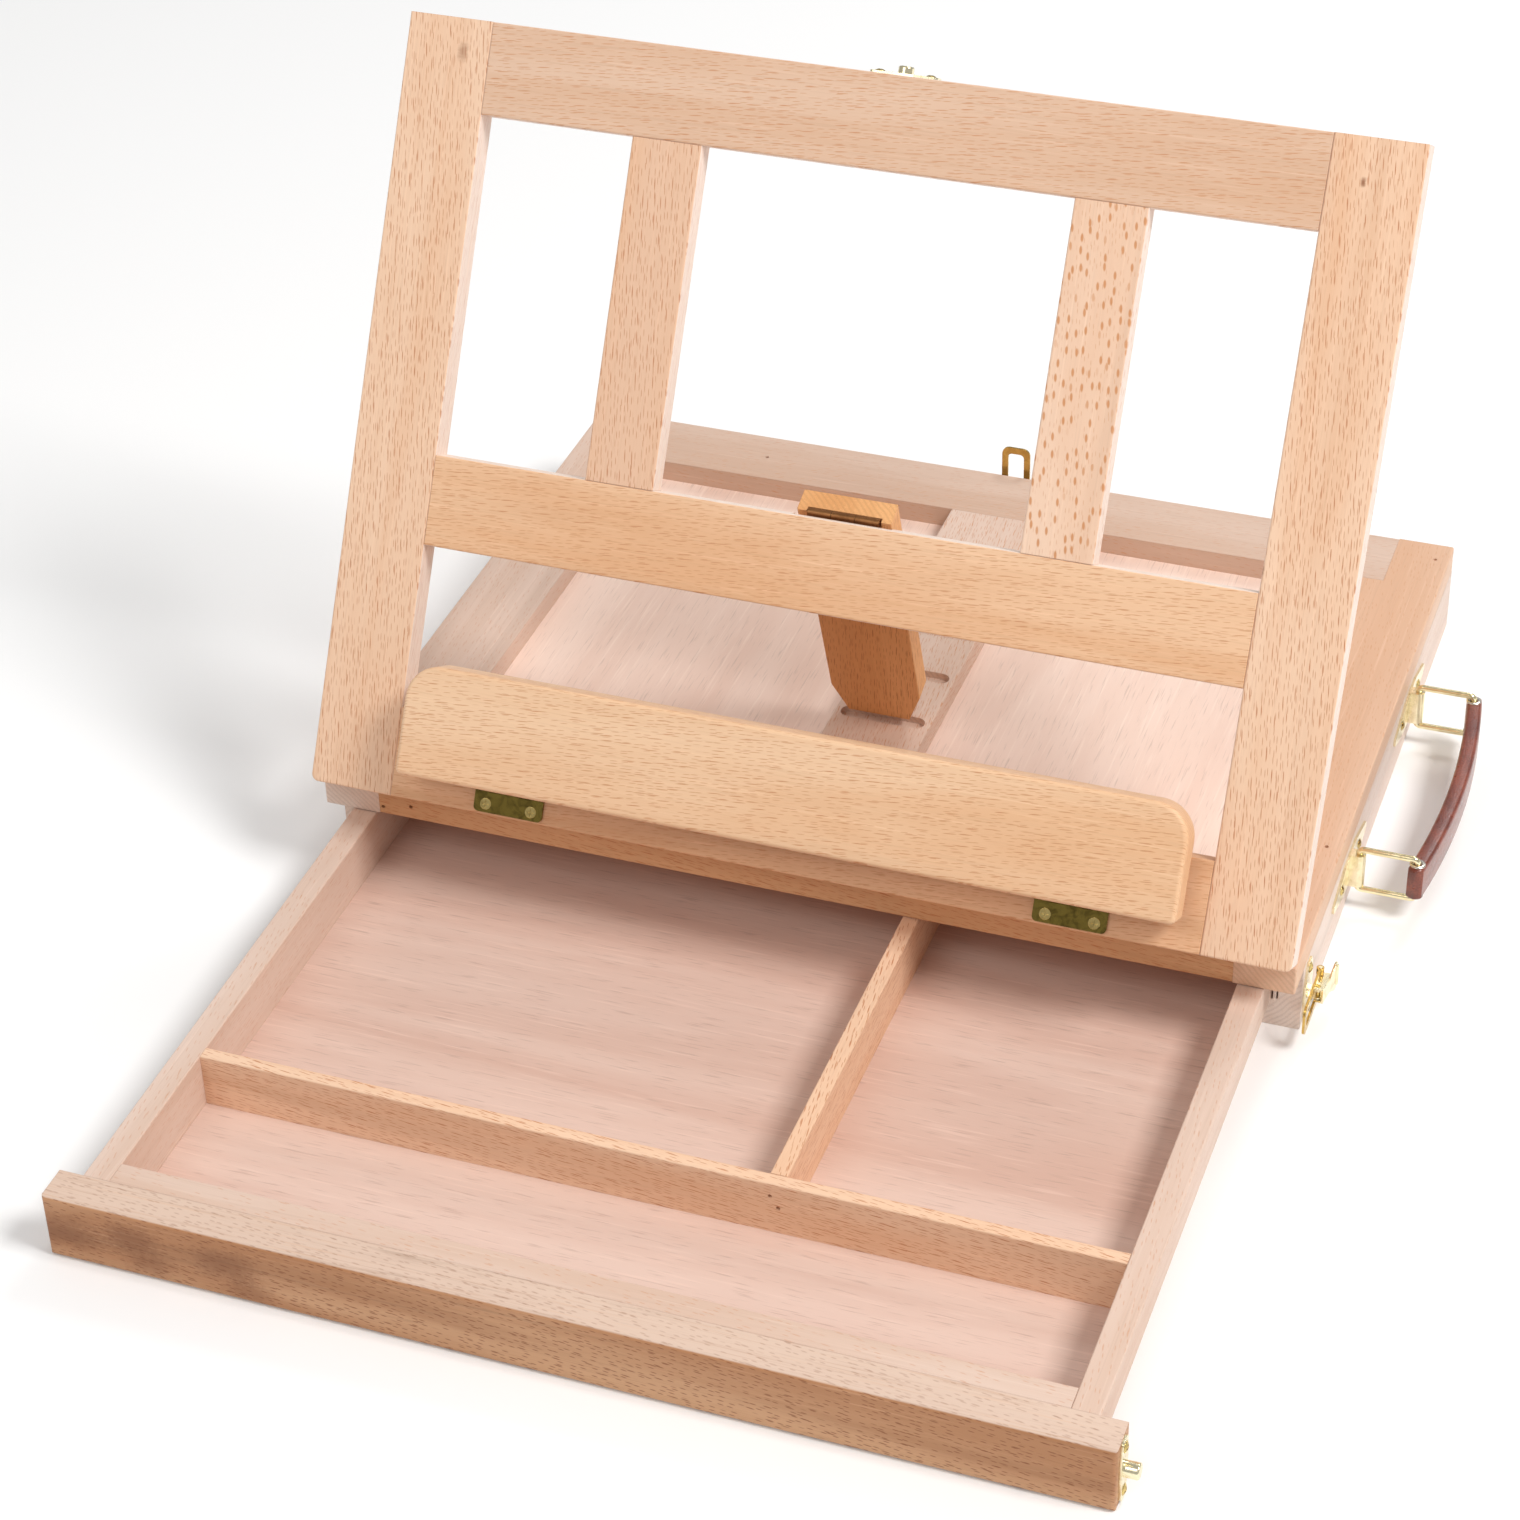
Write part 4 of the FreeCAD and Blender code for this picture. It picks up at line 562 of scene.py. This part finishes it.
def strap_section(along, bow, middle_z, half_height):
    """Rounded rectangle across the strap at a share of its half length from the middle, -1 to 1."""
    past_shoulder = max(0.0, (abs(along) - STRAP_SHOULDER) / (1 - STRAP_SHOULDER))
    shrink = math.sqrt(max(0.0, 1 - past_shoulder ** 2))
    half_x = STRAP_THICKNESS / 2 * (0.25 + 0.75 * shrink)
    half_z = half_height * (0.9 + 0.1 * shrink)
    radius = min(STRAP_CORNER, half_x * 0.9)
    points = []
    for side_x, side_z, start in ((1, 1, 0), (-1, 1, 90), (-1, -1, 180), (1, -1, 270)):
        for k in range(6):
            a = math.radians(start + 90 * k / 5)
            points.append((bow + side_x * (half_x - radius) + radius * math.cos(a),
                           middle_z + side_z * (half_z - radius) + radius * math.sin(a)))
    return points


def eyelet_rim(name, x, y, z, outward, material):
    """Half-round metal rim of an eyelet, standing out of the leather."""
    sections = []
    for k in range(13):
        a = math.pi * k / 12
        radius = EYELET_RADIUS + EYELET_WIRE * math.cos(a)
        height = z + outward * (EYELET_RISE * math.sin(a) + EYELET_LIFT)
        turns = (2 * math.pi * j / 32 for j in range(32))
        sections.append([Vector((x + radius * math.cos(b), y + radius * math.sin(b), height)) for b in turns])
    return swept(name, sections, material, False)


def strap():
    """Leather strap between the two rings, with an eyelet near each end."""
    low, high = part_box("handle_strap")
    eye_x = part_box("handle_ring_front")[1].x - STRAP_INSET
    middle_y = (low.y + high.y) / 2
    middle_z = (low.z + high.z) / 2
    half_length = (high.y - low.y) / 2
    half_height = (high.z - low.z) / 2
    sections = []
    for i in range(STRAP_STEPS + 1):
        along = -1 + 2 * i / STRAP_STEPS
        bow = eye_x + STRAP_BOW * (1 - min(1.0, (along / STRAP_BOW_END) ** 2))
        y = middle_y + along * half_length
        section = strap_section(along, bow, middle_z, half_height)
        sections.append([Vector((x, y, z)) for x, z in section])
    hide = leather("strap_hide", srgb(142, 66, 42), srgb(106, 42, 26), 0.26)
    body = swept("strap_leather", sections, hide)
    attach(body, "strap")
    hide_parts("handle_strap")

    eyelet = metal("eyelet_steel", srgb(232, 226, 214), srgb(190, 182, 168), 0.16)
    rims = []
    for node in ("handle_ring_front", "handle_ring_rear"):
        ring_low, ring_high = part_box(node)
        y = (ring_low.y + ring_high.y) / 2
        for outward in (1, -1):
            z = middle_z + outward * half_height
            rims.append(eyelet_rim("eyelet", eye_x, y, z, outward, eyelet))
    bpy.ops.object.select_all(action="DESELECT")
    for rim in rims:
        rim.select_set(True)
    bpy.context.view_layer.objects.active = rims[0]
    bpy.ops.object.join()
    rims[0].name = "strap_eyelets"
    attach(rims[0], "strap")
    paint(eyelet, "handle_ferrules")


def area_light(name, direction, width, power, colour=(1, 1, 1)):
    data = bpy.data.lights.new(name, "AREA")
    data.size = width
    data.energy = power
    data.color = colour
    lamp = bpy.data.objects.new(name, data)
    lamp.location = TARGET + Vector(direction).normalized() * LAMP_DISTANCE
    lamp.rotation_euler = (TARGET - lamp.location).to_track_quat("-Z", "Y").to_euler()
    bpy.context.scene.collection.objects.link(lamp)


def studio():
    """Pale paper floor, dim even surroundings and three soft lamps, the strongest from the right."""
    floor_mesh = bpy.data.meshes.new("floor")
    size = FLOOR_HALF_WIDTH
    corners = [(-size, -size, 0), (size, -size, 0), (size, size, 0), (-size, size, 0)]
    floor_mesh.from_pydata(corners, [], [(0, 1, 2, 3)])
    m = Nodes("floor_paper")
    source = m.tree.nodes.new("ShaderNodeTexCoord")
    speck = m.noise(source.outputs["Object"], 400, 2)
    paper = m.mix(m.math("MULTIPLY", speck, 0.05), (0.97, 0.97, 0.97), (0.93, 0.93, 0.93))
    m.put(m.shader.inputs["Base Color"], paper)
    m.shader.inputs["Roughness"].default_value = 0.9
    m.shader.inputs["Specular IOR Level"].default_value = 0.0
    floor = new_object("floor", floor_mesh, m.material)

    world = bpy.data.worlds.new("studio")
    world.use_nodes = True
    world.node_tree.nodes["Background"].inputs[0].default_value = (1.0, 1.0, 1.0, 1)
    world.node_tree.nodes["Background"].inputs[1].default_value = 0.4
    bpy.context.scene.world = world

    area_light("key", (0.62, -0.12, 0.80), 0.9, 58, (1.0, 0.995, 0.985))
    area_light("back", (0.15, 0.75, 0.80), 0.8, 16)
    area_light("front", (-0.35, -0.75, 0.85), 1.6, 20, (1.0, 0.985, 0.965))


def camera():
    """Camera high in front of the easel and a little to its right."""
    data = bpy.data.cameras.new("camera")
    data.sensor_width = 36.0
    data.lens = 87.16
    data.shift_x = -0.0021
    data.shift_y = -0.0035
    data.clip_end = 20
    cam = bpy.data.objects.new("camera", data)
    up = CAMERA_RIGHT.cross(CAMERA_FORWARD)
    turn = Matrix((CAMERA_RIGHT, up, -CAMERA_FORWARD)).transposed().to_4x4()
    cam.matrix_world = Matrix.Translation(CAMERA_AT) @ turn
    bpy.context.scene.collection.objects.link(cam)
    bpy.context.scene.camera = cam


dress_box()
dress_frame()
dress_drawer()
dress_hardware()
for node in NODES.values():
    smooth(node, 25)
strap()
studio()
camera()
bpy.context.scene.view_settings.view_transform = "Standard"
